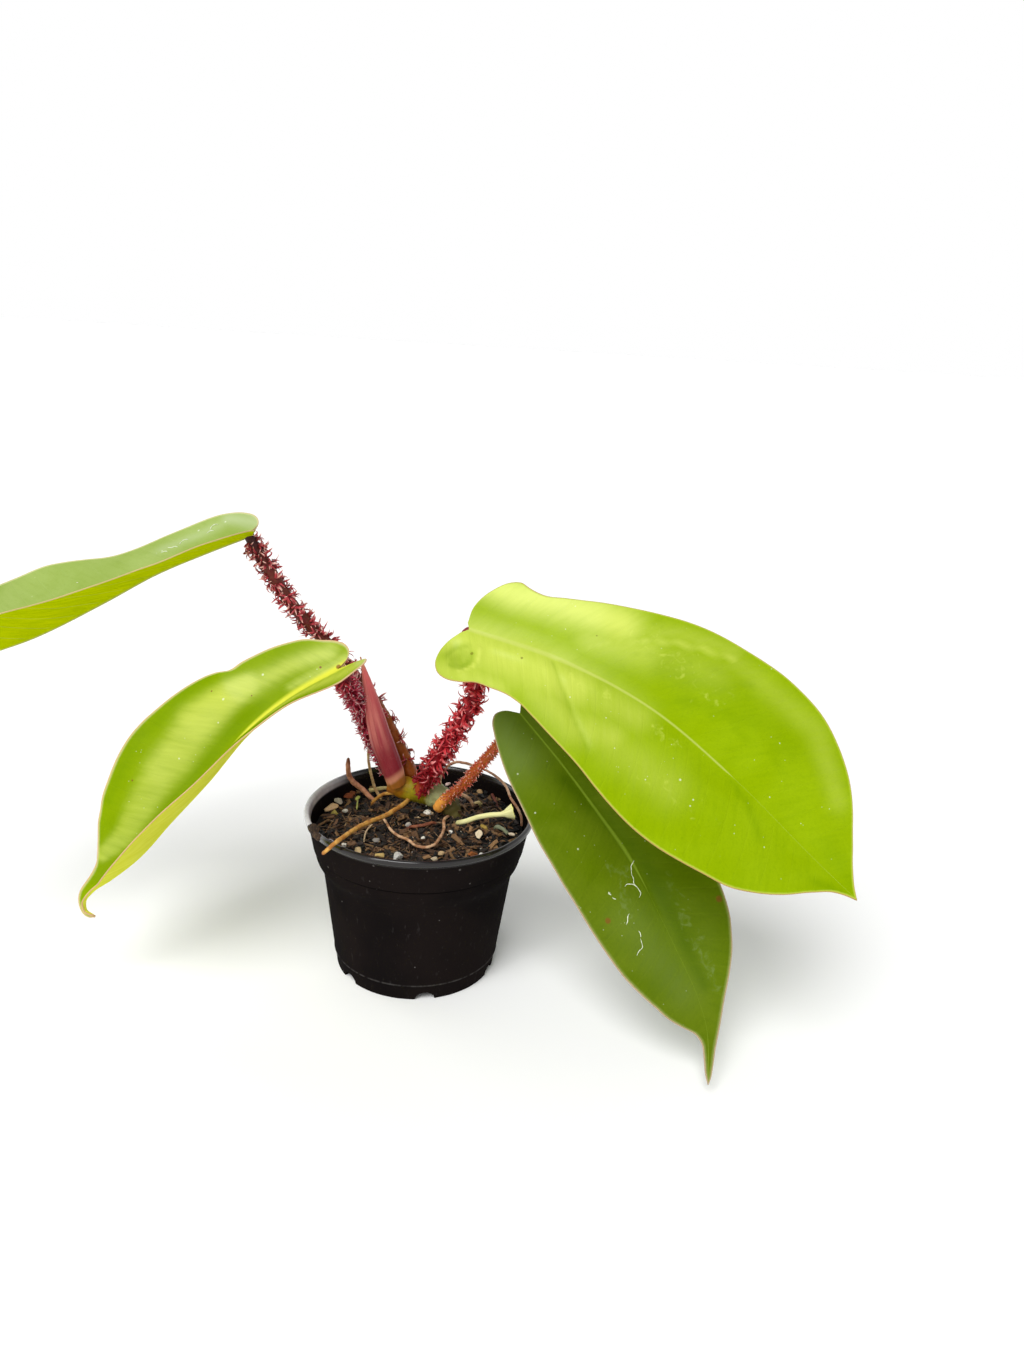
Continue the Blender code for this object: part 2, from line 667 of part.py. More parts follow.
SHEATH_ROUTE = [
    (-7.3, 7.6, 47.2), (-7.9, 7, 50), (-9.8, 6.2, 55.8), (-11.3, 5.3, 60.4), (-12.8, 4.4, 66.8),
    (-14.3, 3.8, 73.7), (-15.6, 3.2, 79.4), (-16.5, 2.9, 82.9),
]
SHEATH_RADII = [(0, 2.5), (0.1, 2.8), (0.35, 3.0), (0.55, 2.5), (0.75, 1.6), (0.93, 0.6), (1, 0.2)]

STUB_ROUTE = [
    (7.6, 3.2, 38), (9.5, 1.7, 39.3), (12, 0.5, 40.6), (15.3, -0.5, 42.9), (18.7, -1.2, 44.2),
    (22.4, -2, 44.7), (24.3, -2.7, 45),
]
STUB_RADII = [(0, 0.8), (0.8, 0.9), (0.9, 1.1), (0.93, 2.0), (1, 2.1)]

ROOTS = {
    "root_1": {
        "route": [
            (-3.9, 7, 42.9), (-4.6, 4, 43), (-6.4, 0, 43.1), (-8.4, -4, 43.2), (-11.4, -9.4, 43.9),
            (-13.9, -14.5, 44.6), (-15.3, -19.2, 45.3), (-16.5, -22.4, 45.5), (-17.7, -24.8, 45.4),
            (-19.2, -25.9, 44.2), (-20.8, -25.8, 42.5),
        ],
        "radii": [(0, 0.7), (0.5, 0.75), (1, 0.6)],
    },
    "root_2": {
        "route": [
            (-11.4, 4.4, 36.4), (-10.4, 1.8, 39.2), (-9.2, -1.2, 40.4), (-7, -5.6, 40),
            (-4.5, -9, 40), (-1.9, -10.8, 40), (0.9, -14, 40), (3, -14.5, 40.1),
            (4.6, -13.8, 40.3), (5.9, -10.2, 40.3), (6.7, -4.7, 40.6), (6.4, -0.7, 41),
            (6.6, 1.6, 40.6), (7.4, 4, 40.2),
        ],
        "radii": [(0, 0.45), (1, 0.5)],
    },
    "root_3": {
        "route": [
            (-4.4, -1.6, 36.4), (-2.7, -1.3, 38.7), (-0.3, -2.3, 39.7), (2.3, -1.2, 40),
            (3.6, 0, 39.8), (4.3, 1.2, 38.4), (4.5, 2, 36.4),
        ],
        "radii": [(0, 0.4), (1, 0.5)],
    },
    "root_4": {
        "route": [
            (4.6, 8.6, 45.6), (4.3, 9.2, 48.5), (5, 9.5, 50.2), (6.6, 9.3, 52.7), (8.4, 9, 53.7),
            (10.9, 8.5, 53.8), (12.7, 8, 53.6), (17.1, 7, 52.5), (19.7, 6.3, 51.2),
            (22.2, 5.5, 49), (23.6, 4.8, 46.1), (25.2, 3.8, 43.6), (25.8, 3.2, 40.8), (25.4, 3, 37),
        ],
        "radii": [(0, 0.6), (1, 0.45)],
    },
    "root_5": {
        "route": [
            (-12.8, 13.2, 35.5), (-14, 13.8, 38.4), (-15.8, 14, 40.2), (-17.6, 14.5, 41.7),
            (-19.4, 14.2, 43.2), (-20.7, 13.4, 45.4), (-21.2, 12.5, 49), (-21, 12, 51.8),
        ],
        "radii": [(0, 0.5), (0.5, 0.75), (0.9, 0.65), (1, 0.4)],
    },
    "root_6": {
        "route": [
            (-11.4, 15.4, 35.5), (-12.8, 16, 38.6), (-14.4, 16.5, 41.6), (-15.3, 16, 45.6),
            (-16, 15, 50.2), (-15.9, 14, 54.1),
        ],
        "radii": [(0, 0.45), (1, 0.35)],
    },
    "root_7": {
        "route": [
            (7.4, 9.4, 42.4), (9.5, 11, 43.4), (11.7, 10.5, 43), (13.1, 9.8, 41.7),
            (13.4, 8.8, 40.3), (12.6, 8, 38.8), (11.8, 7.4, 36.4),
        ],
        "radii": [(0, 0.5), (1, 0.4)],
    },
    "root_8": {
        "route": [
            (-15, 11, 36), (-14.1, 11.2, 39.3), (-12.7, 10.9, 41), (-10.9, 10.2, 42.6),
            (-8.8, 9.4, 43.3), (-7.2, 9.2, 43.4),
        ],
        "radii": [(0, 0.45), (1, 0.5)],
    },
}


def bristle(mesh_name, base, direction, length, width):
    """A thin three-sided spike, its root sunk into what carries it."""
    bm = bmesh.new()
    height = length + BRISTLE_ROOT_DEPTH
    middle = base + direction * (length - BRISTLE_ROOT_DEPTH) / 2
    bmesh.ops.create_cone(
        bm,
        cap_ends=True,
        segments=BRISTLE_SIDES,
        radius1=width,
        radius2=0.0,
        depth=height,
        matrix=Matrix.Translation(middle) @ direction.to_track_quat("Z", "Y").to_matrix().to_4x4(),
    )
    bmesh.ops.scale(bm, vec=(MM, MM, MM), verts=bm.verts)
    mesh = bpy.data.meshes.new(mesh_name)
    bm.to_mesh(mesh)
    bm.free()
    return mesh


def make_bristles(name, shape, neighbours):
    """Spikes spread evenly round a petiole, from above its foot to just under its blade."""
    draw = random.Random(name)
    knots = chord_lengths(shape["route"])
    length = knots[-1]
    start, end = length * shape["bare"], length - BRISTLE_FREE_TOP
    meshes = []
    for index in range(shape["bristles"]):
        at = start + (end - start) * (index + draw.random() * 0.6) / shape["bristles"]
        axis = along(shape["route"], knots, at + 0.2) - along(shape["route"], knots, at - 0.2)
        axis.normalize()
        across = axis.orthogonal().normalized()
        turn = Matrix.Rotation(index * GOLDEN_ANGLE + draw.uniform(-0.25, 0.25), 3, axis)
        outward = turn @ across
        radius = blend_table(shape["radii"], at / length)[0]
        spike = shape["length"] * draw.uniform(0.75, 1.2)
        lean = (outward + axis * draw.uniform(-0.35, 0.45)).normalized()
        base = along(shape["route"], knots, at) + outward * radius * 0.92
        if clear_of(base + lean * spike, neighbours) and clear_of(base, neighbours):
            meshes.append(bristle(f"{name}_bristle_{index}", base, lean, spike, BRISTLE_WIDTH))
    return meshes


def main():
    clean_scene()
    plant = collection("philodendron")
    cutters = collection("cutters")

    blade_colours = {
        "leaf_1": (0.36, 0.50, 0.06),
        "leaf_2": (0.32, 0.52, 0.02),
        "leaf_3": (0.42, 0.62, 0.03),
        "leaf_4": (0.08, 0.18, 0.02),
    }
    petiole_colours = {
        "petiole_1": (0.10, 0.02, 0.015),
        "petiole_2": (0.25, 0.01, 0.03),
        "petiole_3": (0.38, 0.02, 0.05),
        "petiole_4": (0.45, 0.15, 0.04),
    }
    pot_black = material("pot_plastic", (0.012, 0.012, 0.013), 0.42)
    mix = material("potting_mix", (0.03, 0.02, 0.014), 0.95)
    stem_green = material("stem_skin", (0.38, 0.42, 0.08), 0.45)
    sheath_pink = material("sheath_skin", (0.42, 0.08, 0.10), 0.5)
    stub_yellow = material("stub_skin", (0.70, 0.72, 0.22), 0.5)
    root_amber = material("root_skin", (0.46, 0.24, 0.08), 0.6)

    make_pot(plant, cutters, pot_black)
    in_the_mix = [STEM_ROUTE, STUB_ROUTE] + [shape["route"] for shape in ROOTS.values()]
    clearance = STEM_RADII[2][1] + LUMP_SIZES[1] / 2
    around = [([Vector(p) for p in route], clearance) for route in in_the_mix]
    soil = make_soil(plant, mix, around)
    stem = tube("stem", STEM_ROUTE, STEM_RADII, plant, stem_green, spacing=STEM_SPACING, sides=12)

    for name, colour in blade_colours.items():
        make_leaf(name, plant, material(name + "_blade", colour, 0.35))

    # What a bristle of one petiole keeps clear of
    routes = {name: (shape["route"], 1.9) for name, shape in PETIOLES.items()}
    routes["sheath"] = (SHEATH_ROUTE, 3.0)
    routes["stem"] = (STEM_ROUTE, 3.2)
    for name, shape in ROOTS.items():
        routes[name] = (shape["route"], 0.8)

    for index, (name, shape) in enumerate(PETIOLES.items(), start=1):
        petiole = tube(
            name,
            shape["route"],
            shape["radii"],
            plant,
            material(name + "_skin", petiole_colours[name], 0.5),
            spacing=PETIOLE_SPACING,
        )
        neighbours = [
            ([Vector(p) for p in route], radius + 2 * GAP)
            for other, (route, radius) in routes.items()
            if other != name
        ]
        grow_on(petiole, make_bristles(name, shape, neighbours), name + "_bristles")
        space = make_leaf(f"leaf_{index}", cutters, clearance=GAP)
        space.name = f"leaf_{index}_space"
        hide_cutter(space)
        cut(petiole, space)
        foot = tube(name + "_foot", shape["route"], shape["radii"], cutters, sides=12, extra=GAP)
        hide_cutter(foot)
        cut(stem, foot)

    tube("sheath", SHEATH_ROUTE, SHEATH_RADII, plant, sheath_pink, spacing=SHEATH_SPACING, sides=12)
    tube("stub", STUB_ROUTE, STUB_RADII, plant, stub_yellow, spacing=STUB_SPACING)
    feet = {
        "sheath": (SHEATH_ROUTE, SHEATH_RADII, SHEATH_SPACING),
        "stub": (STUB_ROUTE, STUB_RADII, STUB_SPACING),
    }
    for name, shape in ROOTS.items():
        tube(name, shape["route"], shape["radii"], plant, root_amber, spacing=ROOT_SPACING, sides=6)
        feet[name] = (shape["route"], shape["radii"], ROOT_SPACING)
    for name, (route, radii, spacing) in feet.items():
        foot = tube(name + "_foot", route, radii, cutters, spacing=spacing, extra=GAP)
        hide_cutter(foot)
        cut(stem, foot)
        if name != "sheath":
            cut(soil, foot)
    stem_hole = tube(
        "stem_hole", STEM_ROUTE, STEM_RADII, cutters, spacing=STEM_SPACING, sides=12, extra=GAP
    )
    hide_cutter(stem_hole)
    cut(soil, stem_hole)


main()
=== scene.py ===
"""Fine shapes and finishes of a young Philodendron squamiferum in its small nursery pot.

Every class below makes one part of the plant or of its pot, in place of the plain solid of
that part. Lengths are millimetres in the model's own frame: the middle of the pot's foot is
the origin, +Z is up, and the plant is seen from the -Y side. Colours are screen values from
0 to 255.
"""

import logging
import math
from collections.abc import Mapping, Sequence
from dataclasses import dataclass, field
from enum import Enum

import bmesh
import bpy
import numpy as np
from mathutils import Matrix, Vector, noise


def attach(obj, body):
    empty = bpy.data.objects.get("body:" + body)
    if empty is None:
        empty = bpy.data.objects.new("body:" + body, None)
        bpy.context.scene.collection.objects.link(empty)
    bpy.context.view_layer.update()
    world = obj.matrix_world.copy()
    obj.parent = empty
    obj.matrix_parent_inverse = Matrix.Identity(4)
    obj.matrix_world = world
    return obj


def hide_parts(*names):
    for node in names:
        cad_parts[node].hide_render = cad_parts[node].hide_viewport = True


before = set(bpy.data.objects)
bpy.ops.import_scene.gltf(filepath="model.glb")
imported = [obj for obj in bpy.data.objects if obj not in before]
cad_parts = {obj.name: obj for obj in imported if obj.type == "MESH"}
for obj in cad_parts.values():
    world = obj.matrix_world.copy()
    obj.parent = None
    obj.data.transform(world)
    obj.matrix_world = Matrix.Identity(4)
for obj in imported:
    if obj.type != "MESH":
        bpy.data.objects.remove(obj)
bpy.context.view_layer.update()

log = logging.getLogger("philodendron")

MM = 0.001
BODY = "root"
GOLDEN_ANGLE = 2.39996
WHITE = (255, 255, 255)
Array = np.ndarray
Point = tuple[float, float, float]
Colour = tuple[float, float, float]
Rows = Sequence[tuple[float, ...]]


def linear(colour: Colour) -> tuple[float, float, float, float]:
    """Turns a screen colour into Blender's linear one.

    Args:
        colour: red, green and blue from 0 to 255.

    Returns:
        The linear colour with full opacity.
    """
    parts = (c / 255 for c in colour)
    red, green, blue = (c / 12.92 if c <= 0.04045 else ((c + 0.055) / 1.055) ** 2.4 for c in parts)
    return red, green, blue, 1.0


def unit(vectors: Array) -> Array:
    """Scales vectors to length 1."""
    return vectors / np.maximum(np.linalg.norm(vectors, axis=-1, keepdims=True), 1e-9)


def between(rows: Rows, at: Array | float) -> Array:
    """Reads (station, value) rows in straight lines between their stations."""
    return np.interp(at, *np.array(rows).T)


def rough(points: Array, scale: float, seed: float = 0.0) -> Array:
    """Smooth noise from -1 to 1 at points.

    Args:
        points: the points, in an array of any shape that ends in x, y and z.
        scale: the size of one swell.
        seed: shifts the noise to another place.

    Returns:
        One number for each point.
    """
    flat = np.reshape(points, (-1, 3)) / scale + seed
    heights = [noise.noise(Vector(p)) for p in flat.tolist()]
    return np.reshape(heights, np.shape(points)[:-1])


# Shader toolkit


class Value:
    """A shader socket that takes part in Python expressions."""

    def __init__(self, graph: "Graph", socket: bpy.types.NodeSocket) -> None:
        """Wraps one output socket of a graph."""
        self.graph = graph
        self.socket = socket

    def maths(self, operation: str, *others: "Value | float") -> "Value":
        """Adds a Math node whose first value is this one."""
        inputs = dict(enumerate((self, *others)))
        return self.graph.node("ShaderNodeMath", {"operation": operation}, inputs)

    def __add__(self, other: "Value | float") -> "Value":
        """Sum."""
        return self.maths("ADD", other)

    def __radd__(self, other: float) -> "Value":
        """Sum with the number first."""
        return self.maths("ADD", other)

    def __sub__(self, other: "Value | float") -> "Value":
        """Difference."""
        return self.maths("SUBTRACT", other)

    def __rsub__(self, other: float) -> "Value":
        """Difference with the number first."""
        return (self * -1.0).maths("ADD", other)

    def __mul__(self, other: "Value | float") -> "Value":
        """Product."""
        return self.maths("MULTIPLY", other)

    def __rmul__(self, other: float) -> "Value":
        """Product with the number first."""
        return self.maths("MULTIPLY", other)

    def __truediv__(self, other: "Value | float") -> "Value":
        """Quotient."""
        return self.maths("DIVIDE", other)

    def __abs__(self) -> "Value":
        """Size without the sign."""
        return self.maths("ABSOLUTE")

    def rise(self, low: float, high: float) -> "Value":
        """Climbs smoothly from 0 at low to 1 at high."""
        limits = {"Value": self, "From Min": low, "From Max": high}
        return self.graph.node("ShaderNodeMapRange", {"interpolation_type": "SMOOTHSTEP"}, limits)

    def output(self, name: str) -> "Value":
        """Another output of the node that this value comes from."""
        return Value(self.graph, self.graph.find(self.socket.node.outputs, name))


class Graph:
    """The node tree of one material, or of the surroundings."""

    def __init__(self, name: str, world: bool = False) -> None:
        """Starts an empty material or world.

        Args:
            name: its name.
            world: makes a world.
        """
        self.owner = (bpy.data.worlds if world else bpy.data.materials).new(name)
        self.owner.use_nodes = True
        self.tree = self.owner.node_tree
        self.tree.nodes.clear()

    @staticmethod
    def find(sockets: bpy.types.bpy_prop_collection, key: str | int) -> bpy.types.NodeSocket:
        """Finds a socket by place, by identifier or by name.

        Args:
            sockets: a node's inputs or outputs.
            key: the place, identifier or name.

        Returns:
            The socket.
        """
        if isinstance(key, int):
            return sockets[key]
        same = [s for s in sockets if s.identifier == key] or [s for s in sockets if s.name == key]
        return same[0]

    def node(
        self,
        kind: str,
        settings: Mapping[str, object] | None = None,
        inputs: Mapping[str | int, object] | None = None,
        output: str | int = 0,
    ) -> Value:
        """Adds a node of any type.

        Args:
            kind: the node's type.
            settings: its own settings, with a ramp's stops under "stops".
            inputs: numbers, vectors or values for its sockets.
            output: the output that is handed back, or the input of a node without outputs.

        Returns:
            That socket as a value.
        """
        made = self.tree.nodes.new(kind)
        for key, setting in (settings or {}).items():
            if key == "stops":
                stops = made.color_ramp.elements
                while len(stops) < len(setting):
                    stops.new(1.0)
                for stop, (place, colour) in zip(stops, setting):
                    stop.position, stop.color = place, linear(colour)
            else:
                setattr(made, key, setting)
        for key, value in (inputs or {}).items():
            socket = self.find(made.inputs, key)
            if isinstance(value, Value):
                self.tree.links.new(value.socket, socket)
            else:
                socket.default_value = value
        return Value(self, self.find(made.outputs or made.inputs, output))

    def stored(self, name: str) -> Value:
        """A vector stored on the mesh."""
        return self.node("ShaderNodeAttribute", {"attribute_name": name}, output="Vector")

    def place(self) -> Value:
        """The point on the object, in millimetres."""
        metres = self.node("ShaderNodeTexCoord", output="Object")
        return self.stretched(metres, (1 / MM, 1 / MM, 1 / MM))

    def stretched(self, vector: Value, by: Point) -> Value:
        """A vector with each part multiplied."""
        return self.node("ShaderNodeVectorMath", {"operation": "MULTIPLY"}, {0: vector, 1: by})

    def axes(self, vector: Value) -> tuple[Value, Value, Value]:
        """The three parts of a vector."""
        x = self.node("ShaderNodeSeparateXYZ", inputs={0: vector}, output="X")
        return x, x.output("Y"), x.output("Z")

    def joined(self, x: Value | float, y: Value | float, z: Value | float) -> Value:
        """A vector made of three values."""
        return self.node("ShaderNodeCombineXYZ", inputs={0: x, 1: y, 2: z})

    def clouds(self, where: Value, scale: float, detail: float = 3.0, twist: float = 0.0) -> Value:
        """Noise from 0 to 1 with the given number of features per unit of where."""
        inputs = {"Vector": where, "Scale": scale, "Detail": detail, "Distortion": twist}
        return self.node("ShaderNodeTexNoise", inputs=inputs, output="Fac")

    def cells(self, where: Value, scale: float) -> Value:
        """Distance to the nearest of many scattered points, in cells."""
        inputs = {"Vector": where, "Scale": scale}
        return self.node("ShaderNodeTexVoronoi", inputs=inputs, output="Distance")

    def spots(self, where: Value, marks: Rows) -> Value:
        """Covers small round marks.

        Args:
            where: the point that is coloured.
            marks: each mark's three coordinates and its radius.

        Returns:
            1 inside a mark and 0 away from all of them.
        """
        cover: Value | None = None
        for *centre, radius in marks:
            ends = {0: where, 1: tuple(centre)}
            away = self.node("ShaderNodeVectorMath", {"operation": "DISTANCE"}, ends, "Value")
            mark = 1 - away.rise(radius * 0.5, radius)
            cover = mark if cover is None else cover.maths("MAXIMUM", mark)
        return cover

    def mix(self, share: Value | float, a: Value | Colour, b: Value | Colour) -> Value:
        """Goes from colour a to colour b.

        Args:
            share: how far, from 0 to 1.
            a: the colour at 0.
            b: the colour at 1.

        Returns:
            The mixed colour.
        """
        colours = [c if isinstance(c, Value) else linear(c) for c in (a, b)]
        inputs = {"Factor_Float": share, "A_Color": colours[0], "B_Color": colours[1]}
        return self.node("ShaderNodeMix", {"data_type": "RGBA"}, inputs, "Result_Color")

    def ramp(self, value: Value, *stops: tuple[float, Colour]) -> Value:
        """Colours along a value."""
        return self.node("ShaderNodeValToRGB", {"stops": stops}, {0: value}, "Color")

    def relief(self, height: Value, depth: float) -> Value:
        """A normal for small relief of the given depth in millimetres."""
        inputs = {"Strength": 1, "Distance": depth * MM, "Height": height}
        return self.node("ShaderNodeBump", inputs=inputs)

    def finish(
        self,
        colour: Value,
        roughness: Value | float,
        level: float = 0.0,
        normal: Value | None = None,
        coat: tuple[Value, float] | None = None,
    ) -> bpy.types.Material:
        """Ends the graph in one Principled surface.

        Args:
            colour: the base colour.
            roughness: the roughness.
            level: the specular level.
            normal: the normal, where the surface has relief.
            coat: the weight and the roughness of its clear coat, where it has one.

        Returns:
            The finished material.
        """
        inputs = {"Base Color": colour, "Roughness": roughness, "Specular IOR Level": level}
        if normal:
            inputs["Normal"] = normal
        if coat:
            inputs["Coat Weight"], inputs["Coat Roughness"] = coat
        surface = self.node("ShaderNodeBsdfPrincipled", inputs=inputs)
        self.node("ShaderNodeOutputMaterial", inputs={"Surface": surface})
        return self.owner


# Shape toolkit


class Line:
    """A smooth curve through rows of numbers, which runs straight on past its ends."""

    def __init__(self, rows: Rows | Array, knots: Sequence[float] | None = None) -> None:
        """Fits the curve.

        Args:
            rows: the points or other values that it goes through.
            knots: where it reaches each of them, or None for their distances along it.
        """
        self.rows = np.array(rows, float)
        steps = np.diff(self.rows, axis=0)
        if knots is None:
            knots = np.concatenate(([0.0], np.cumsum(np.linalg.norm(steps, axis=1))))
        self.knots = np.array(knots, float)
        self.length = float(self.knots[-1])
        self.gaps = np.diff(self.knots)[:, None]
        pace = steps / self.gaps
        inner = pace[:-1] * self.gaps[1:] + pace[1:] * self.gaps[:-1]
        inner /= self.gaps[1:] + self.gaps[:-1]
        self.slopes = np.concatenate((pace[:1], inner, pace[-1:]))

    @classmethod
    def table(cls, rows: Rows) -> "Line":
        """A curve through rows that each start with their own station."""
        values = np.array(rows, float)
        return cls(values[:, 1:], values[:, 0])

    def at(self, stations: Array | Sequence[float] | float) -> Array:
        """Works out the curve's values.

        Args:
            stations: where along it.

        Returns:
            A row of values for each station.
        """
        t = np.asarray(stations, float)
        i = np.clip(np.searchsorted(self.knots, t, side="right") - 1, 0, len(self.gaps) - 1)
        gap, t = self.gaps[i], t[..., None]
        u = (t - self.knots[i][..., None]) / gap
        inside = (
            (2 * u**3 - 3 * u**2 + 1) * self.rows[i]
            + (u**3 - 2 * u**2 + u) * gap * self.slopes[i]
            + (3 * u**2 - 2 * u**3) * self.rows[i + 1]
            + (u**3 - u**2) * gap * self.slopes[i + 1]
        )
        before = self.rows[0] + self.slopes[0] * (t - self.knots[0])
        after = self.rows[-1] + self.slopes[-1] * (t - self.knots[-1])
        return np.where(t < self.knots[0], before, np.where(t > self.knots[-1], after, inside))

    def heading(self, stations: Array | Sequence[float], step: float = 0.2) -> Array:
        """The unit direction of travel at stations."""
        t = np.asarray(stations, float)
        return unit(self.at(t + step) - self.at(t - step))

    def frames(self, stations: Array) -> tuple[Array, Array, Array, Array]:
        """Untwisted axes at rising stations.

        Args:
            stations: where along the curve.

        Returns:
            The points, and the directions ahead, out and across. Out starts towards the viewer.
        """
        ahead = self.heading(stations)
        out = np.empty_like(ahead)
        last = np.array((0.0, -1.0, 0.0))
        for i, way in enumerate(ahead):
            last = unit(last - way * last.dot(way))
            out[i] = last
        return self.at(stations), ahead, out, np.cross(ahead, out)


class Shell:
    """Points, faces and stored vectors, gathered into one mesh."""

    def __init__(self) -> None:
        """Starts with nothing."""
        self.points: list[Array] = []
        self.faces: list[list[int]] = []
        self.stored: dict[str, list[Array]] = {}
        self.count = 0

    def add(self, points: Array, faces: Array | Sequence[Sequence[int]], **stored: object) -> None:
        """Adds loose points and the faces between them.

        Args:
            points: the points, in an array of any shape that ends in x, y and z.
            faces: each face's corners, counted from the first of these points.
            **stored: vectors to keep for the shaders, one for all points or one for each.
        """
        points = np.reshape(points, (-1, 3))
        for name, vectors in stored.items():
            vectors = np.asarray(vectors, float)
            vectors = np.broadcast_to(np.reshape(vectors, (-1, 3)), points.shape)
            self.stored.setdefault(name, []).append(vectors)
        if isinstance(faces, np.ndarray):
            self.faces += (faces + self.count).tolist()
        else:
            self.faces += [[corner + self.count for corner in face] for face in faces]
        self.points.append(points)
        self.count += len(points)

    def rings(self, points: Array, strip: bool = False, **stored: object) -> None:
        """Adds rings of points as a tube with closed ends.

        Args:
            points: the points, of shape (rings, sides, 3).
            strip: closes the ends with narrow faces across them, for flattened rings.
            **stored: vectors to keep, as for add.
        """
        rows, columns = points.shape[:2]
        index = np.arange(rows * columns).reshape(rows, columns)
        ring = np.hstack((index, index[:, :1]))
        faces = np.stack((ring[:-1, :-1], ring[:-1, 1:], ring[1:, 1:], ring[1:, :-1]), axis=-1)
        faces = faces.reshape(-1, 4).tolist()
        for end in (index[0, ::-1].tolist(), index[-1].tolist()):
            if not strip:
                faces.append(end)
                continue
            end, half = sorted(end), columns // 2 - 1
            over, back = end[:half], end[-2:half:-1]
            faces += [list(c) for c in zip(over[:-1], over[1:], back[1:], back[:-1])]
            faces += [end[half - 1 : half + 2], [end[-2], end[-1], end[0]]]
        self.add(points, faces, **stored)

    def build(
        self, name: str, material: bpy.types.Material, merge: float = 0.0, sharp: float = 180.0
    ) -> bpy.types.Object:
        """Makes the object.

        Args:
            name: the piece's name.
            material: its material.
            merge: joins points that are closer than this.
            sharp: edges with a sharper turn than this, in degrees, stay sharp.

        Returns:
            The object, in the scene and in metres.
        """
        mesh = bpy.data.meshes.new(name)
        mesh.from_pydata((np.concatenate(self.points) * MM).tolist(), [], self.faces)
        for key, parts in self.stored.items():
            layer = mesh.attributes.new(key, "FLOAT_VECTOR", "POINT")
            layer.data.foreach_set("vector", np.concatenate(parts).ravel())
        bm = bmesh.new()
        bm.from_mesh(mesh)
        if merge:
            bmesh.ops.remove_doubles(bm, verts=bm.verts, dist=merge * MM)
            bmesh.ops.dissolve_degenerate(bm, edges=bm.edges, dist=1e-8)
        bmesh.ops.recalc_face_normals(bm, faces=bm.faces)
        bm.to_mesh(mesh)
        bm.free()
        mesh.shade_smooth()
        if sharp < 180:
            mesh.set_sharp_from_angle(angle=math.radians(sharp))
        mesh.materials.append(material)
        piece = bpy.data.objects.new(name, mesh)
        bpy.context.scene.collection.objects.link(piece)
        return piece


def seat(piece: bpy.types.Object, slot: str, *nodes: str) -> None:
    """Ties a finished piece to the frame.

    Args:
        piece: the piece.
        slot: the name of a material slot; not used.
        *nodes: the plain solids that it stands for.
    """
    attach(piece, BODY)
    if nodes:
        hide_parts(*nodes)
    log.info("%s: %d faces", piece.name, len(piece.data.polygons))


@dataclass
class Tube:
    """A round shoot or root along a route.

    Radii are (share of the route, radius) rows. Swell is how much its radius wanders, as a
    share of it, and grain is the length of one such swell.
    """

    route: Rows
    radii: Rows
    sides: int = 24
    spacing: float = 0.5
    swell: float = 0.04
    grain: float = 1.5

    def rings(self, start: float = 0.0, end: float = 0.0) -> tuple[Array, Array, Array]:
        """Works out the tube's rings.

        Args:
            start: length added before the route.
            end: length added after it.

        Returns:
            The points by ring and side, their outward directions, and (share, turn, 0) vectors.
        """
        line = Line(self.route)
        count = max(4, round((line.length + start + end) / self.spacing) + 1)
        stations = np.linspace(-start, line.length + end, count)
        centre, _, out, across = line.frames(stations)
        turns = np.linspace(0, math.tau, self.sides, endpoint=False)
        share = stations / line.length
        radius = between(self.radii, share)[:, None, None]
        ways = (
            out[:, None] * np.cos(turns)[None, :, None]
            + across[:, None] * np.sin(turns)[None, :, None]
        )
        points = centre[:, None] + ways * radius
        if self.swell:
            points += ways * radius * self.swell * rough(points, self.grain)[..., None] * 2
        skin = np.zeros(points.shape)
        skin[..., 0], skin[..., 1] = share[:, None], turns[None, :] / math.tau
        return points, unit(ways), skin


# Blades


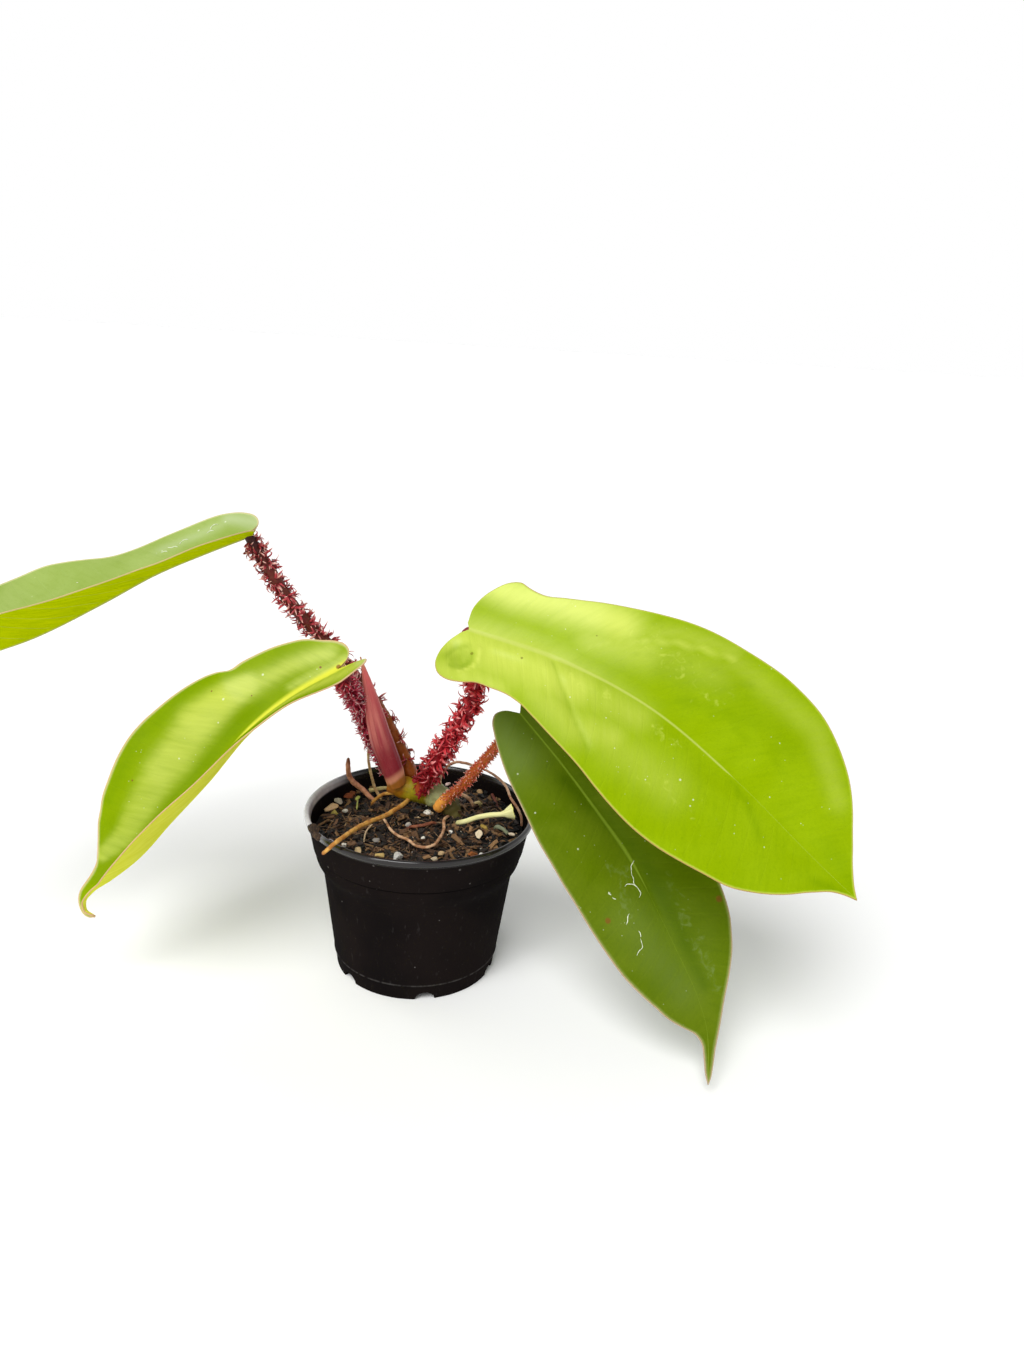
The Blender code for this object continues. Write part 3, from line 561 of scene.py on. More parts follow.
@dataclass(frozen=True)
class LeafSkin:
    """Leaf skin: green above with veins, rim, marks, painted sheen and painted shade, and its own
    colours below.

    Flecks and blots are (along the midrib, out from it, radius) rows of pale and brown marks.
    """

    upper: Colour
    bright: Colour
    # deep: the darker green of streaks and grain, and the colour of the painted shade of the dark
    # strokes
    deep: Colour
    # pale colour for the painted sheen of the pale strokes, and for worn patches
    painted_sheen_and_wear: Colour
    rib: Colour
    vein: Colour
    rim: Colour
    hem: Colour
    under: Colour
    under_bright: Colour
    under_far: Colour
    blot: Colour = (120, 80, 30)
    flecks: Rows = ()
    blots: Rows = ()
    dust: float = 0.4
    feather: float = 0.8
    # how far the painted shade weakens the painted sheen
    hush: float = 0.3
    vein_share: float = 0.1
    roughness: float = 0.45
    gloss: float = 0.1
    # clear coat over the painted sheen patches
    sheen_patch_gloss: float = 0.6
    rib_share: float = 0.8
    hem_width: float = 0.3
    rim_width: float = 0.9

    VEIN_LEAN = 0.62
    VEIN_CURVE = 0.008
    VEIN_SPACING = 6.5
    FINE_SPACING = 1.3
    COAT_ROUGHNESS = 0.27
    DUST = (236, 240, 214)
    FLECK = (238, 242, 222)

    def veins(self, a: Value, reach: Value, spacing: float, thin: float) -> Value:
        """Lines that leave the midrib forwards, 1 on a vein and 0 between them."""
        phase = (a - reach * self.VEIN_LEAN + reach * reach * self.VEIN_CURVE) / spacing
        return abs(phase.maths("FRACT") - 0.5).rise(0.5 - thin, 0.5)

    def material(self, name: str) -> bpy.types.Material:
        """Makes the leaf skin.

        Args:
            name: its name.

        Returns:
            The material.
        """
        g = Graph(name)
        a, b, edge = g.axes(g.stored("leaf"))
        pale, dark, rib = g.axes(g.stored("tone"))
        top, wear, _ = g.axes(g.stored("side"))
        where, reach = g.place(), abs(b)
        cloud = g.clouds(where, 0.07, 3, 0.6)
        grain = g.clouds(where, 1.6, 4)
        along_veins = g.joined(a * 0.25 - reach * 0.155, b * 0.05, 0)
        streak = g.clouds(along_veins, 2.6, 4)
        main = self.veins(a, reach, self.VEIN_SPACING, 0.06) * reach.rise(0.6, 3)
        fine = self.veins(a, reach, self.FINE_SPACING, 0.2)

        green = g.mix(cloud.rise(0.3, 0.7), self.upper, self.bright)
        green = g.mix(streak.rise(0.4, 0.75) * 0.16, green, self.deep)
        green = g.mix(main * self.vein_share + fine * (self.vein_share * 0.3), green, self.vein)
        green = g.mix(grain.rise(0.45, 0.8) * 0.18, green, self.deep)
        # painted shade: the dark strokes darken folds, creases and hollows towards deep, and some
        # strips of darker green
        green = g.mix(dark * (0.7 + streak * 0.6), green, self.deep)
        # painted sheen: the pale strokes, weakened under the painted shade and broken up along the
        # streaks, pale the green
        pale = pale * (1 - dark * self.hush)
        broken = pale + pale * (1 - pale) * (streak - 0.5) * self.feather
        broken = (broken * (0.82 + streak * 0.36)).maths("MINIMUM", 1.0).maths("MAXIMUM", 0.0)
        green = g.mix(broken, green, self.painted_sheen_and_wear)
        mottle = g.clouds(where, 0.55, 4, 0.8)
        worn = (wear + (mottle - 0.5) * 1.5).rise(0.35, 0.75) * wear.rise(0.02, 0.2)
        green = g.mix(worn * 0.42, green, self.painted_sheen_and_wear)
        green = g.mix((1 - rib.rise(0.2, 1.3)) * self.rib_share, green, self.rib)
        rough_edge = edge + (grain - 0.5) * 0.25
        green = g.mix(1 - rough_edge.rise(self.rim_width * 0.3, self.rim_width), green, self.rim)
        flat = g.joined(a, b, 0)
        specks = 1 - g.cells(flat, 0.42).rise(0.035, 0.075)
        green = g.mix(specks * cloud.rise(0.4, 0.6) * self.dust, green, self.DUST)
        for rows, share, colour in ((self.flecks, 0.45, self.FLECK), (self.blots, 0.8, self.blot)):
            if rows:
                marks = [(x, y, 0.0, r) for x, y, r in rows]
                green = g.mix(g.spots(flat, marks) * share, green, colour)

        below = g.mix(streak.rise(0.35, 0.7), self.under, self.under_bright)
        below = g.mix(b.rise(-1, 2) * (0.75 + streak * 0.4), below, self.under_far)
        below = g.mix(main * 0.25, below, self.rib)
        below = g.mix(1 - reach.rise(0.5, 1.1), below, self.rib)
        colour = g.mix(top.rise(0.25, 0.75), below, green)
        colour = g.mix(1 - rough_edge.rise(self.hem_width * 0.3, self.hem_width), colour, self.hem)

        height = grain * 0.35 + streak * 0.3 - main * 0.3 - fine * 0.08
        dull = self.roughness + (grain - 0.5) * 0.12 + pale * 0.06
        coat = top * (pale * self.sheen_patch_gloss + self.gloss)
        return g.finish(colour, dull, 0.0, g.relief(height, 0.1), (coat, self.COAT_ROUGHNESS))


@dataclass(frozen=True)
class Stroke:
    """A soft mark or swell along a line of flat leaf coordinates.

    The line's rows are distance along the midrib, distance out from it, and half width. A
    higher edge gives it a crisper border.
    """

    line: Rows
    amount: float
    edge: float = 2.0

    def cover(self, a: Array, b: Array) -> Array:
        """Works out how much of the stroke reaches some points.

        Args:
            a: their distances along the midrib.
            b: their distances out from it.

        Returns:
            From 0 to the stroke's amount for each of them.
        """
        most = np.zeros_like(a)
        for (a0, b0, w0), (a1, b1, w1) in zip(self.line, self.line[1:]):
            da, db = a1 - a0, b1 - b0
            share = np.clip(((a - a0) * da + (b - b0) * db) / (da * da + db * db), 0, 1)
            away = np.hypot(a - a0 - share * da, b - b0 - share * db)
            away = away / (w0 + (w1 - w0) * share)
            most = np.maximum(most, np.exp(-(away**self.edge)))
        return most * self.amount


@dataclass
class Blade:
    """One blade, drawn flat and then folded up from its midrib and curled to its margin.

    The face rows hold the direction that the midrib's upper side looks in, the fold rows the
    angle of each half, both by share of the length. Curl is in degrees for 10 mm. The halves
    are margins as (along, out) rows. The rib line gives the half width of the pale midrib,
    and each line of lint is a dried white thread that lies on the blade.
    """

    number: int
    rib: Rows
    face: Rows
    fold: Rows
    fold_near: Rows
    curl: float
    half: Rows
    half_near: Rows
    skin: LeafSkin
    rib_line: Rows
    # pale strokes paint sheen and highlights into the colour
    pale: Sequence[Stroke] = ()
    # dark strokes paint shade in folds, creases and hollows, and darker green strips
    dark: Sequence[Stroke] = ()
    wear: Sequence[Stroke] = ()
    swells: Sequence[Stroke] = ()
    lint: Sequence[Rows] = ()
    wander: float = 0.25
    rib_depth: float = 0.85
    line: Line = field(init=False)

    ROWS = 171
    NEAR_RIB = (0.0, 0.3, 0.65, 1.05, 1.6, 2.4)
    NEAR_RIM = (1.3, 0.8, 0.45, 0.2, 0.0)
    MIDDLE = 13
    VEIN_SLANT = 0.4
    CREASE = 0.7
    THICKNESS = 0.42
    RIM_THICKNESS = 0.26
    RIB_SPREAD = 1.0
    FULL_SPAN = 9.0
    ROUNDS = 28
    WANDER_SIZE = 11.0
    WANDER_START = 4.0
    RIM_BULGE = 0.09
    LINT_LIFT = 0.06
    LINT_RADII = ((0, 0.04), (0.3, 0.1), (0.8, 0.08), (1, 0.03))

    def __post_init__(self) -> None:
        """Fits the midrib's curve."""
        self.line = Line(self.rib)

    def lifted(self, a: Array, b: Array) -> tuple[Array, Array]:
        """Takes flat coordinates to space.

        Args:
            a: distances along the midrib.
            b: distances out from it, positive on the far half.

        Returns:
            The points of the upper side and its upward directions.
        """
        share = np.clip(a / self.line.length, 0, 1)
        ahead = self.line.heading(a)
        face = Line.table(self.face).at(share)
        face = unit(face - ahead * np.sum(face * ahead, axis=-1, keepdims=True))
        side = np.cross(ahead, face) * np.sign(b)[..., None]
        far, near = (Line.table(rows).at(share)[..., 0] for rows in (self.fold, self.fold_near))
        fold = np.radians(np.where(b > 0, far, near))
        curl, reach = math.radians(self.curl) / 10, np.abs(b)
        middles = (np.arange(self.ROUNDS) + 0.5) / self.ROUNDS
        weights = 2 * middles / np.sum(2 * middles)
        walk = reach[..., None] * middles**2
        angle = fold[..., None] * (1 - np.exp(-walk / self.CREASE)) + curl * walk
        out = (np.cos(angle) @ weights) * reach
        up = (np.sin(angle) @ weights) * reach
        end = (fold * (1 - np.exp(-reach / self.CREASE)) + curl * reach)[..., None]
        point = self.line.at(a) + side * out[..., None] + face * up[..., None]
        return point, face * np.cos(end) - side * np.sin(end)

    def relief(self, a: Array, b: Array) -> Array:
        """Works out the wander and the swells of the blade.

        Args:
            a: distances along the midrib.
            b: distances out from it.

        Returns:
            Heights over the folded sheet.
        """
        flat = np.stack((a, b, np.full_like(a, self.number)), axis=-1)
        height = self.wander * rough(flat, self.WANDER_SIZE)
        height = height * np.clip(np.abs(b) / self.WANDER_START, 0, 1)
        for swell in self.swells:
            height = height + swell.cover(a, b)
        return height

    def sheet(self) -> tuple[Array, Array, Array]:
        """Lays out the flat blade.

        Returns:
            Along, out and distance to the margin, by row and column from the near margin over
            the midrib to the far one.
        """
        length = self.line.length
        edges = []
        for outline in (self.half_near, self.half):
            edge = Line([*outline, (length, 0.0)])
            edges.append(edge.at(np.linspace(0, edge.length, self.ROWS)))
        back = np.mean([edge[:, 0] - self.VEIN_SLANT * edge[:, 1] for edge in edges], axis=0)
        inner = np.clip(np.maximum.accumulate(back), 0, length)[:, None]
        halves = []
        for edge, sign in zip(edges, (-1, 1)):
            far_a, far_b = edge[:, :1], np.maximum(edge[:, 1:], 0)
            span = np.hypot(far_a - inner, far_b)
            full = np.maximum(span, self.FULL_SPAN)
            spaced = np.linspace(0, 1, self.MIDDLE + 2)[1:-1]
            start, stop = self.NEAR_RIB[-1], full - self.NEAR_RIM[0]
            steps = [np.repeat([self.NEAR_RIB], self.ROWS, axis=0)]
            steps += [start + (stop - start) * spaced, full - np.array(self.NEAR_RIM)]
            share = np.hstack(steps) / full
            half = (inner + (far_a - inner) * share, sign * far_b * share, span * (1 - share))
            halves.append(half)
        near, far = halves
        return tuple(np.hstack((n[:, ::-1], f[:, 1:])) for n, f in zip(near, far))

    def build(self) -> None:
        """Makes the blade's piece."""
        a, b, edge = self.sheet()
        top, up = self.lifted(a, b)
        share = np.clip(a / self.line.length, 0, 1)
        rib = self.rib_depth * (1 - 0.75 * share) * np.exp(-((b / self.RIB_SPREAD) ** 2))
        rim = self.RIM_THICKNESS + (self.THICKNESS - self.RIM_THICKNESS) * np.clip(edge, 0, 1)
        upper = top + up * self.relief(a, b)[..., None]
        lower = upper - up * (rim + rib)[..., None]
        rims = []
        for k, inside in ((-1, -2), (0, 1)):
            way = unit(upper[:, k] - upper[:, inside])
            middle = (upper[:, k] + lower[:, k]) / 2
            rims.append((middle + way * self.RIM_BULGE)[:, None])
        points = np.hstack((upper, rims[0], lower[:, ::-1], rims[1]))

        def ring(values: Array) -> Array:
            """Repeats one value of the sheet round every ring."""
            return np.hstack((values, values[:, -1:], values[:, ::-1], values[:, :1]))

        zero = np.zeros_like(a)

        def most(strokes: Sequence[Stroke]) -> Array:
            """The strongest of some strokes at each point."""
            return np.max([zero, *(stroke.cover(a, b) for stroke in strokes)], axis=0)

        wide = np.maximum(Line.table(self.rib_line).at(share)[..., 0], 0.02)
        leaf = np.stack([ring(v) for v in (a, b, edge)], axis=-1)
        # tone: the painted sheen, the painted shade and the reach across the midrib
        tones = (most(self.pale), most(self.dark), np.abs(b) / wide)
        tone = np.stack([ring(v) for v in tones], axis=-1)
        one, half = np.ones_like(a), np.full_like(a[:, :1], 0.5)
        upward = np.hstack((one, half, zero, half))
        side = np.stack((upward, ring(most(self.wear)), 0 * upward), axis=-1)
        shell = Shell()
        shell.rings(points, strip=True, leaf=leaf, tone=tone, side=side)
        name = f"blade_{self.number}"
        piece = shell.build(name, self.skin.material(name), merge=0.004)
        seat(piece, f"leaf_{self.number}_blade", f"leaf_{self.number}")
        if self.lint:
            self.threads()

    def threads(self) -> None:
        """Makes the dried threads."""
        shell = Shell()
        for rows in self.lint:
            flat = Line(rows)
            a, b = flat.at(np.linspace(0, flat.length, max(4, round(flat.length / 0.4)))).T
            top, up = self.lifted(a, b)
            route = top + up * (self.relief(a, b)[:, None] + self.LINT_LIFT)
            tube = Tube(route, self.LINT_RADII, sides=6, spacing=0.2, swell=0.4, grain=0.5)
            shell.rings(tube.rings()[0])
        name = f"lint_{self.number}"
        g = Graph(name)
        tone = g.mix(g.clouds(g.place(), 3), (244, 246, 232), (206, 214, 178))
        piece = shell.build(name, g.finish(tone, 0.8, 0.2))
        seat(piece, f"leaf_{self.number}_blade")


# Petioles, stem, sheath, stub and roots


@dataclass(frozen=True)
class BristleSkin:
    """Petiole skin with fleshy scales: a dark core, and a shaft that pales to its tip."""

    core: Colour
    root: Colour
    shaft: Colour
    tip: Colour
    foot: Colour
    head: Colour
    foot_end: float = 0.1
    head_start: float = 0.9
    low_shade: float = 0.3
    roughness: float = 0.42

    def material(self, name: str) -> bpy.types.Material:
        """Makes the bristly skin.

        Args:
            name: its name.

        Returns:
            The material.
        """
        g = Graph(name)
        out, share, tint = g.axes(g.stored("skin"))
        where = g.place()
        grain = g.clouds(where, 1.4, 4)
        patch = g.clouds(where, 0.25, 2)
        core = g.mix(grain.rise(0.35, 0.7), self.core, self.root)
        above = (share + (patch - 0.5) * 0.1).rise(self.foot_end * 0.5, self.foot_end)
        core = g.mix(1 - above, core, self.foot)
        core = g.mix((share + (patch - 0.5) * 0.12).rise(self.head_start, 1), core, self.head)
        stops = ((0, self.root), (0.35, self.shaft), (0.75, self.shaft), (1, self.tip))
        shaft = g.ramp(out, *stops)
        shaft = g.mix(tint * 0.55, shaft, self.root)
        shaft = g.mix((1 - share.rise(0.08, 0.42)) * self.low_shade, shaft, self.core)
        pale = (tint - 0.75).maths("GREATER_THAN", 0) * out.rise(0.3, 0.85) * 0.65
        shaft = g.mix(pale, shaft, self.tip)
        colour = g.mix(out.rise(0.02, 0.15), core, shaft)
        dull = self.roughness + (grain - 0.5) * 0.2
        return g.finish(colour, dull, 0.22, g.relief(grain, 0.1))


@dataclass
class Petiole:
    """A petiole with one curled fleshy scale after another all round it.

    Crowd holds (share of the route, density) rows, and growth the scales' size in the same
    way. Tuft is how many scales share one root, spread by an angle and by the length of a
    clump. Blunt scales stay broad up to their tips.
    """

    number: int
    route: Rows
    radii: Rows
    skin: BristleSkin
    scales: int
    reach: float
    bare: float
    crowd: Rows = ((0, 1.0), (1, 1.0))
    growth: Rows = ((0, 1.0), (1, 1.0))
    curl: tuple[float, float] = (0.7, 2.2)
    width: float = 0.26
    tuft: int = 1
    tuft_spread: float = 0.12
    clump: float = 0.0
    lean: tuple[float, float] = (-0.3, 0.55)
    blunt: float = 1.5
    wave: float = 0.35
    top_gap: float = 1.6
    into_blade: float = 0.7

    SEED = 40
    STEPS = 7
    SINK = 0.25
    TAPER = 0.86
    FLATNESS = 0.6
    END_GAPS = (0.3, 0.2)
    TOE = ((0.0, 0.3), (0.35, 0.62), (0.8, 0.86), (1.5, 1.0))

    def places(self, draw: np.random.Generator, line: Line) -> tuple[Array, Array]:
        """Chooses where the scales stand.

        Args:
            draw: the seeded chance.
            line: the petiole's curve.

        Returns:
            Rising distances along the curve, and turns round it.
        """
        clumps = self.scales // self.tuft
        shares = np.linspace(self.bare, 1 - self.top_gap / line.length, 200)
        density = between(self.crowd, shares)
        filled = np.cumsum(density) / np.sum(density)
        at = np.interp((np.arange(clumps) + draw.random(clumps)) / clumps, filled, shares)
        at = np.repeat(at * line.length, self.tuft)
        first, last = self.END_GAPS
        at = np.clip(at + draw.normal(0, self.clump, at.size), first, line.length - last)
        turn = np.arange(clumps) * GOLDEN_ANGLE + draw.uniform(-0.4, 0.4, clumps)
        stray = draw.normal(0, self.tuft_spread, at.size) * (self.tuft > 1)
        turn = np.repeat(turn, self.tuft) + stray
        order = np.argsort(at, kind="stable")
        return at[order], turn[order]

    def shafts(self, shell: Shell) -> None:
        """Adds the scales.

        Args:
            shell: what they are added to.
        """
        draw = np.random.default_rng(self.SEED + self.number)
        line = Line(self.route)
        at, turn = self.places(draw, line)
        centre, ahead, out, across = line.frames(at)
        outward = out * np.cos(turn)[:, None] + across * np.sin(turn)[:, None]
        around = np.cross(ahead, outward)
        radius = between(self.radii, at / line.length)[:, None]
        count = at.size
        lean = draw.uniform(0, math.tau, count)[:, None]
        swing = ahead * np.cos(lean) + around * np.sin(lean)
        start = unit(outward + swing * draw.uniform(*self.lean, (count, 1)))
        bend = unit(swing - start * np.sum(swing * start, axis=-1, keepdims=True))
        share = np.linspace(0, 1, self.STEPS)
        angle = draw.uniform(*self.curl, (count, 1)) * share**1.4
        angle = angle + draw.uniform(-1, 1, (count, 1)) * self.wave * np.sin(share * 5)
        grown = between(self.growth, at / line.length)[:, None]
        reach = self.reach * grown * draw.uniform(0.55, 1.2, (count, 1)) + self.SINK
        ways = start[:, None] * np.cos(angle)[..., None] + bend[:, None] * np.sin(angle)[..., None]
        middle = (ways[:, 1:] + ways[:, :-1]) / 2 * (reach / (self.STEPS - 1))[..., None]
        walked = np.concatenate((np.zeros((count, 1, 3)), np.cumsum(middle, axis=1)), axis=1)
        path = (centre + outward * (radius - self.SINK))[:, None] + walked
        flat = np.cross(start, bend)[:, None]
        thick = np.cross(ways, np.broadcast_to(flat, ways.shape))
        taper = (1 - share**self.blunt * self.TAPER) * self.width
        wide = taper * draw.uniform(0.7, 1.35, (count, 1))
        sides = (flat * wide[..., None], thick * wide[..., None] * self.FLATNESS)
        corners = np.stack([path + sides[0], path + sides[1], path - sides[0], path - sides[1]], 2)
        index = np.arange(count * self.STEPS * 4).reshape(count, self.STEPS, 4)
        ring = np.concatenate((index, index[..., :1]), axis=-1)
        low, high = ring[:, :-1], ring[:, 1:]
        faces = np.stack((low[..., :-1], low[..., 1:], high[..., 1:], high[..., :-1]), -1)
        ends = np.concatenate((index[:, 0, ::-1], index[:, -1]))
        skin = np.zeros(corners.shape)
        skin[..., 0] = np.clip(share * 1.1 - 0.05, 0, 1)[None, :, None]
        skin[..., 1] = (at / line.length)[:, None, None]
        skin[..., 2] = draw.random(count)[:, None, None]
        shell.add(corners, np.concatenate((faces.reshape(-1, 4), ends)), skin=skin)

    def build(self) -> None:
        """Makes the petiole's piece."""
        length = Line(self.route).length
        toe = [(far / length, self.radii[0][1] * share) for far, share in self.TOE]
        radii = [*toe, *self.radii[1:]]
        core = Tube(self.route, radii, sides=22, spacing=0.35, swell=0.07, grain=0.9)
        points, _, marks = core.rings(end=self.into_blade)
        skin = np.zeros(points.shape)
        skin[..., 1] = marks[..., 0]
        shell = Shell()
        shell.rings(points, skin=skin)
        self.shafts(shell)
        name = f"bristly_petiole_{self.number}"
        piece = shell.build(name, self.skin.material(name), sharp=60)
        seat(piece, f"petiole_{self.number}_skin", f"petiole_{self.number}")


@dataclass(frozen=True)
class StemSkin:
    """Green stem skin that goes from a peach ring over olive to a cracked blue-green end."""

    ring: Colour = (172, 106, 42)
    olive: Colour = (150, 100, 18)
    green: Colour = (142, 128, 20)
    cut: Colour = (154, 159, 110)
    soiled: Colour = (92, 84, 44)
    crack: Colour = (84, 72, 40)

    BANDS = ((0.0, 0.06), (0.1, 0.15), (0.22, 0.41), (0.47, 0.58), (0.64, 1.0))

    def material(self, name: str) -> bpy.types.Material:
        """Makes the stem skin.

        Args:
            name: its name.

        Returns:
            The material.
        """
        g = Graph(name)
        share, turn, _ = g.axes(g.stored("skin"))
        where = g.place()
        grain = g.clouds(where, 1.3, 4)
        patch = g.clouds(where, 0.35, 3)
        wander = share + (patch - 0.5) * 0.16
        colours = (self.ring, self.olive, self.green, self.cut, self.soiled)
        stops = [(place, c) for ends, c in zip(self.BANDS, colours) for place in ends]
        tone = g.ramp(wander, *stops)
        streak = g.clouds(g.joined(share * 4, turn * 26, 0), 1, 4)
        tone = g.mix(streak.rise(0.5, 0.8) * 0.4, tone, self.crack)
        cracks = 1 - g.cells(where, 0.9).rise(0.02, 0.12)
        tone = g.mix(cracks * share.rise(0.5, 0.6) * 0.5, tone, self.crack)
        tone = g.mix(grain.rise(0.6, 0.8) * 0.3, tone, self.crack)
        dull = 0.45 + (grain - 0.5) * 0.2
        return g.finish(tone, dull, 0.15, g.relief(grain + streak * 0.6, 0.15))


@dataclass
class Stem:
    """The short creeping stem, with thin rings and swollen leaf joints.

    Joints are (share of the route, width, height) rows.
    """

    route: Rows
    radii: Rows
    joints: Rows
    skin: StemSkin = field(default_factory=StemSkin)

    RING_HEIGHT = 0.07
    RING_PACE = 120
    END_DEPTH = 0.7

    def build(self) -> None:
        """Makes the stem's piece."""
        tube = Tube(self.route, self.radii, sides=48, spacing=0.25, swell=0.05, grain=2.2)
        points, ways, marks = tube.rings()
        share = marks[..., 0]
        lift = sum(h * np.exp(-(((share - at) / wide) ** 2)) for at, wide, h in self.joints)
        ribs = self.RING_HEIGHT * np.sin(share * self.RING_PACE)
        ribs = ribs * np.clip((share - 0.2) * 8, 0, 1)
        points = points + ways * (lift + ribs)[..., None]
        end = np.clip((share - 0.97) / 0.03, 0, 1)
        points = points - ways * (end * self.END_DEPTH)[..., None]
        shell = Shell()
        shell.rings(points, skin=marks)
        piece = shell.build("creeping_stem", self.skin.material("creeping_stem"), sharp=50)
        seat(piece, "stem_skin", "stem")


@dataclass(frozen=True)
class SheathSkin:
    """Rosy sheath skin with long streaks and a crimson flank that also paints shade on its right
    side.

    The joint is an (x, z, slope) line, below which the sheath has the stem's ochre.
    """

    rose: Colour = (178, 76, 82)
    pale: Colour = (206, 122, 112)
    crimson: Colour = (126, 26, 40)
    lit: Colour = (224, 112, 108)
    tip: Colour = (196, 140, 100)
    base: Colour = (214, 144, 112)
    ochre: Colour = (166, 104, 40)
    joint: tuple[float, float, float] = (-9.7, 47.5, 0.69)

    def material(self, name: str) -> bpy.types.Material:
        """Makes the sheath skin.

        Args:
            name: its name.

        Returns:
            The material.
        """
        g = Graph(name)
        share, turn, _ = g.axes(g.stored("skin"))
        where = g.place()
        streak = g.clouds(g.joined(share * 3, turn * 40, 0), 1, 4)
        broad = g.clouds(g.joined(share * 2, turn * 9, 3), 1, 3)
        grain = g.clouds(where, 1.8, 4)
        tone = g.mix(broad.rise(0.35, 0.7), self.rose, self.pale)
        # painted shade: the crimson flank on the right side is the sheath's own crimson together
        # with painted shade
        flank = turn.rise(0.02, 0.2) * (1 - turn.rise(0.42, 0.6)) * (1 - share.rise(0.5, 1) * 0.6)
        tone = g.mix(flank * (0.3 + (1 - share.rise(0.16, 0.36)) * 0.4), tone, self.crimson)
        tone = g.mix((1 - (share + (broad - 0.5) * 0.2).rise(0.22, 0.6)) * 0.82, tone, self.crimson)
        tone = g.mix(share.rise(0.5, 0.9) * 0.5, tone, self.lit)
        tone = g.mix(streak.rise(0.5, 0.8) * (1 - share * 0.7) * 0.35, tone, self.crimson)
        tone = g.mix((share + (broad - 0.5) * 0.1).rise(0.9, 0.99), tone, self.tip)
        x, z, slope = self.joint
        across, _, high = g.axes(where)
        above = (high - z) - (across - x) * slope + (broad - 0.5) * 0.8
        tone = g.mix(1 - above.rise(0.6, 3), tone, self.base)
        tone = g.mix(1 - above.rise(-1, 0.4), tone, self.ochre)
        tone = g.mix(grain.rise(0.55, 0.8) * 0.2, tone, self.pale)
        dull = 0.48 + (streak - 0.5) * 0.2
        return g.finish(tone, dull, 0.15, g.relief(streak + grain * 0.4, 0.12))


@dataclass
class Sheath:
    """The pointed sheath of the newest leaf: one margin lies over the other along its front."""

    route: Rows
    radii: Rows
    skin: SheathSkin = field(default_factory=SheathSkin)

    SEAM = 0.93
    LAP = 0.28
    KEEL = 0.45
    RIB_HEIGHT = 0.04
    RIBS = 15
    FULL_RADIUS = 2.6

    def build(self) -> None:
        """Makes the sheath's piece."""
        tube = Tube(self.route, self.radii, sides=72, spacing=0.4, swell=0.0)
        points, ways, marks = tube.rings(end=0.6)
        share, turn = marks[..., 0], marks[..., 1]
        radius = between(self.radii, share)
        past = (turn - self.SEAM) % 1.0
        lap = self.LAP * np.exp(-past / 0.09) - self.LAP * 0.5 * np.exp(-(1 - past) / 0.05)
        keel = self.KEEL * np.exp(-(((turn - 0.5) / 0.035) ** 2))
        ribs = self.RIB_HEIGHT * np.sin(turn * math.tau * self.RIBS)
        relief = lap + keel + ribs + 0.03 * rough(points, 5.0)
        points = points + ways * (radius / self.FULL_RADIUS * relief)[..., None]
        shell = Shell()
        shell.rings(points, skin=marks)
        piece = shell.build("leaf_sheath", self.skin.material("leaf_sheath"), sharp=50)
        seat(piece, "sheath_skin", "sheath")


@dataclass(frozen=True)
class StubSkin:
    """Pale yellow-green skin with a browned cut rim."""

    skin: Colour = (244, 240, 178)
    shade: Colour = (212, 205, 128)
    rim: Colour = (255, 250, 112)
    dry: Colour = (166, 154, 106)

    def material(self, name: str) -> bpy.types.Material:
        """Makes the stub skin.

        Args:
            name: its name.

        Returns:
            The material.
        """
        g = Graph(name)
        share, turn, rim = g.axes(g.stored("skin"))
        streak = g.clouds(g.joined(share * 5, turn * 22, 0), 1, 4)
        grain = g.clouds(g.place(), 1.5, 4)
        tone = g.mix(streak.rise(0.35, 0.75) * 0.8, self.skin, self.shade)
        tone = g.mix(1 - share.rise(0.05, 0.35), tone, self.dry)
        tone = g.mix(rim * 0.8, tone, self.rim)
        tone = g.mix((rim * grain).rise(0.55, 0.7) * 0.5, tone, self.dry)
        dull = 0.5 + (grain - 0.5) * 0.2
        return g.finish(tone, dull, 0.2, g.relief(streak + grain * 0.5, 0.1))


@dataclass
class Stub:
    """The cut petiole stub, which flares to a shallow ragged cup."""

    route: Rows
    radii: Rows
    cup_depth: float = 0.5
    skin: StubSkin = field(default_factory=StubSkin)

    CUP_ROUNDS = ((0.82, 0.02), (0.6, 0.6), (0.3, 0.95), (0.05, 1.0))

    def build(self) -> None:
        """Makes the stub's piece."""
        tube = Tube(self.route, self.radii, sides=40, spacing=0.16, swell=0.03, grain=1.2)
        points, _, marks = tube.rings()
        line = Line(self.route)
        ahead = line.heading([line.length])[0]
        ragged = 0.28 * rough(points[-1], 0.8, 5.0)
        rim = points[-1] + ahead * (ragged[:, None] + 0.1)
        centre = points[-1].mean(axis=0)
        rounds = [points[:-1], rim[None]]
        skins = [marks[:-1], marks[-1:] + (0, 0, 1)]
        for share, depth in self.CUP_ROUNDS:
            inner = centre + (points[-1] - centre) * share - ahead * self.cup_depth * depth
            rounds.append((inner + ahead * ragged[:, None] * share * 0.4)[None])
            skins.append(marks[-1:] + (0, 0, 0.9 - depth * 0.5))
        shell = Shell()
        shell.rings(np.concatenate(rounds), skin=np.concatenate(skins))
        piece = shell.build("petiole_stub", self.skin.material("petiole_stub"), sharp=55)
        seat(piece, "stub_skin", "stub")


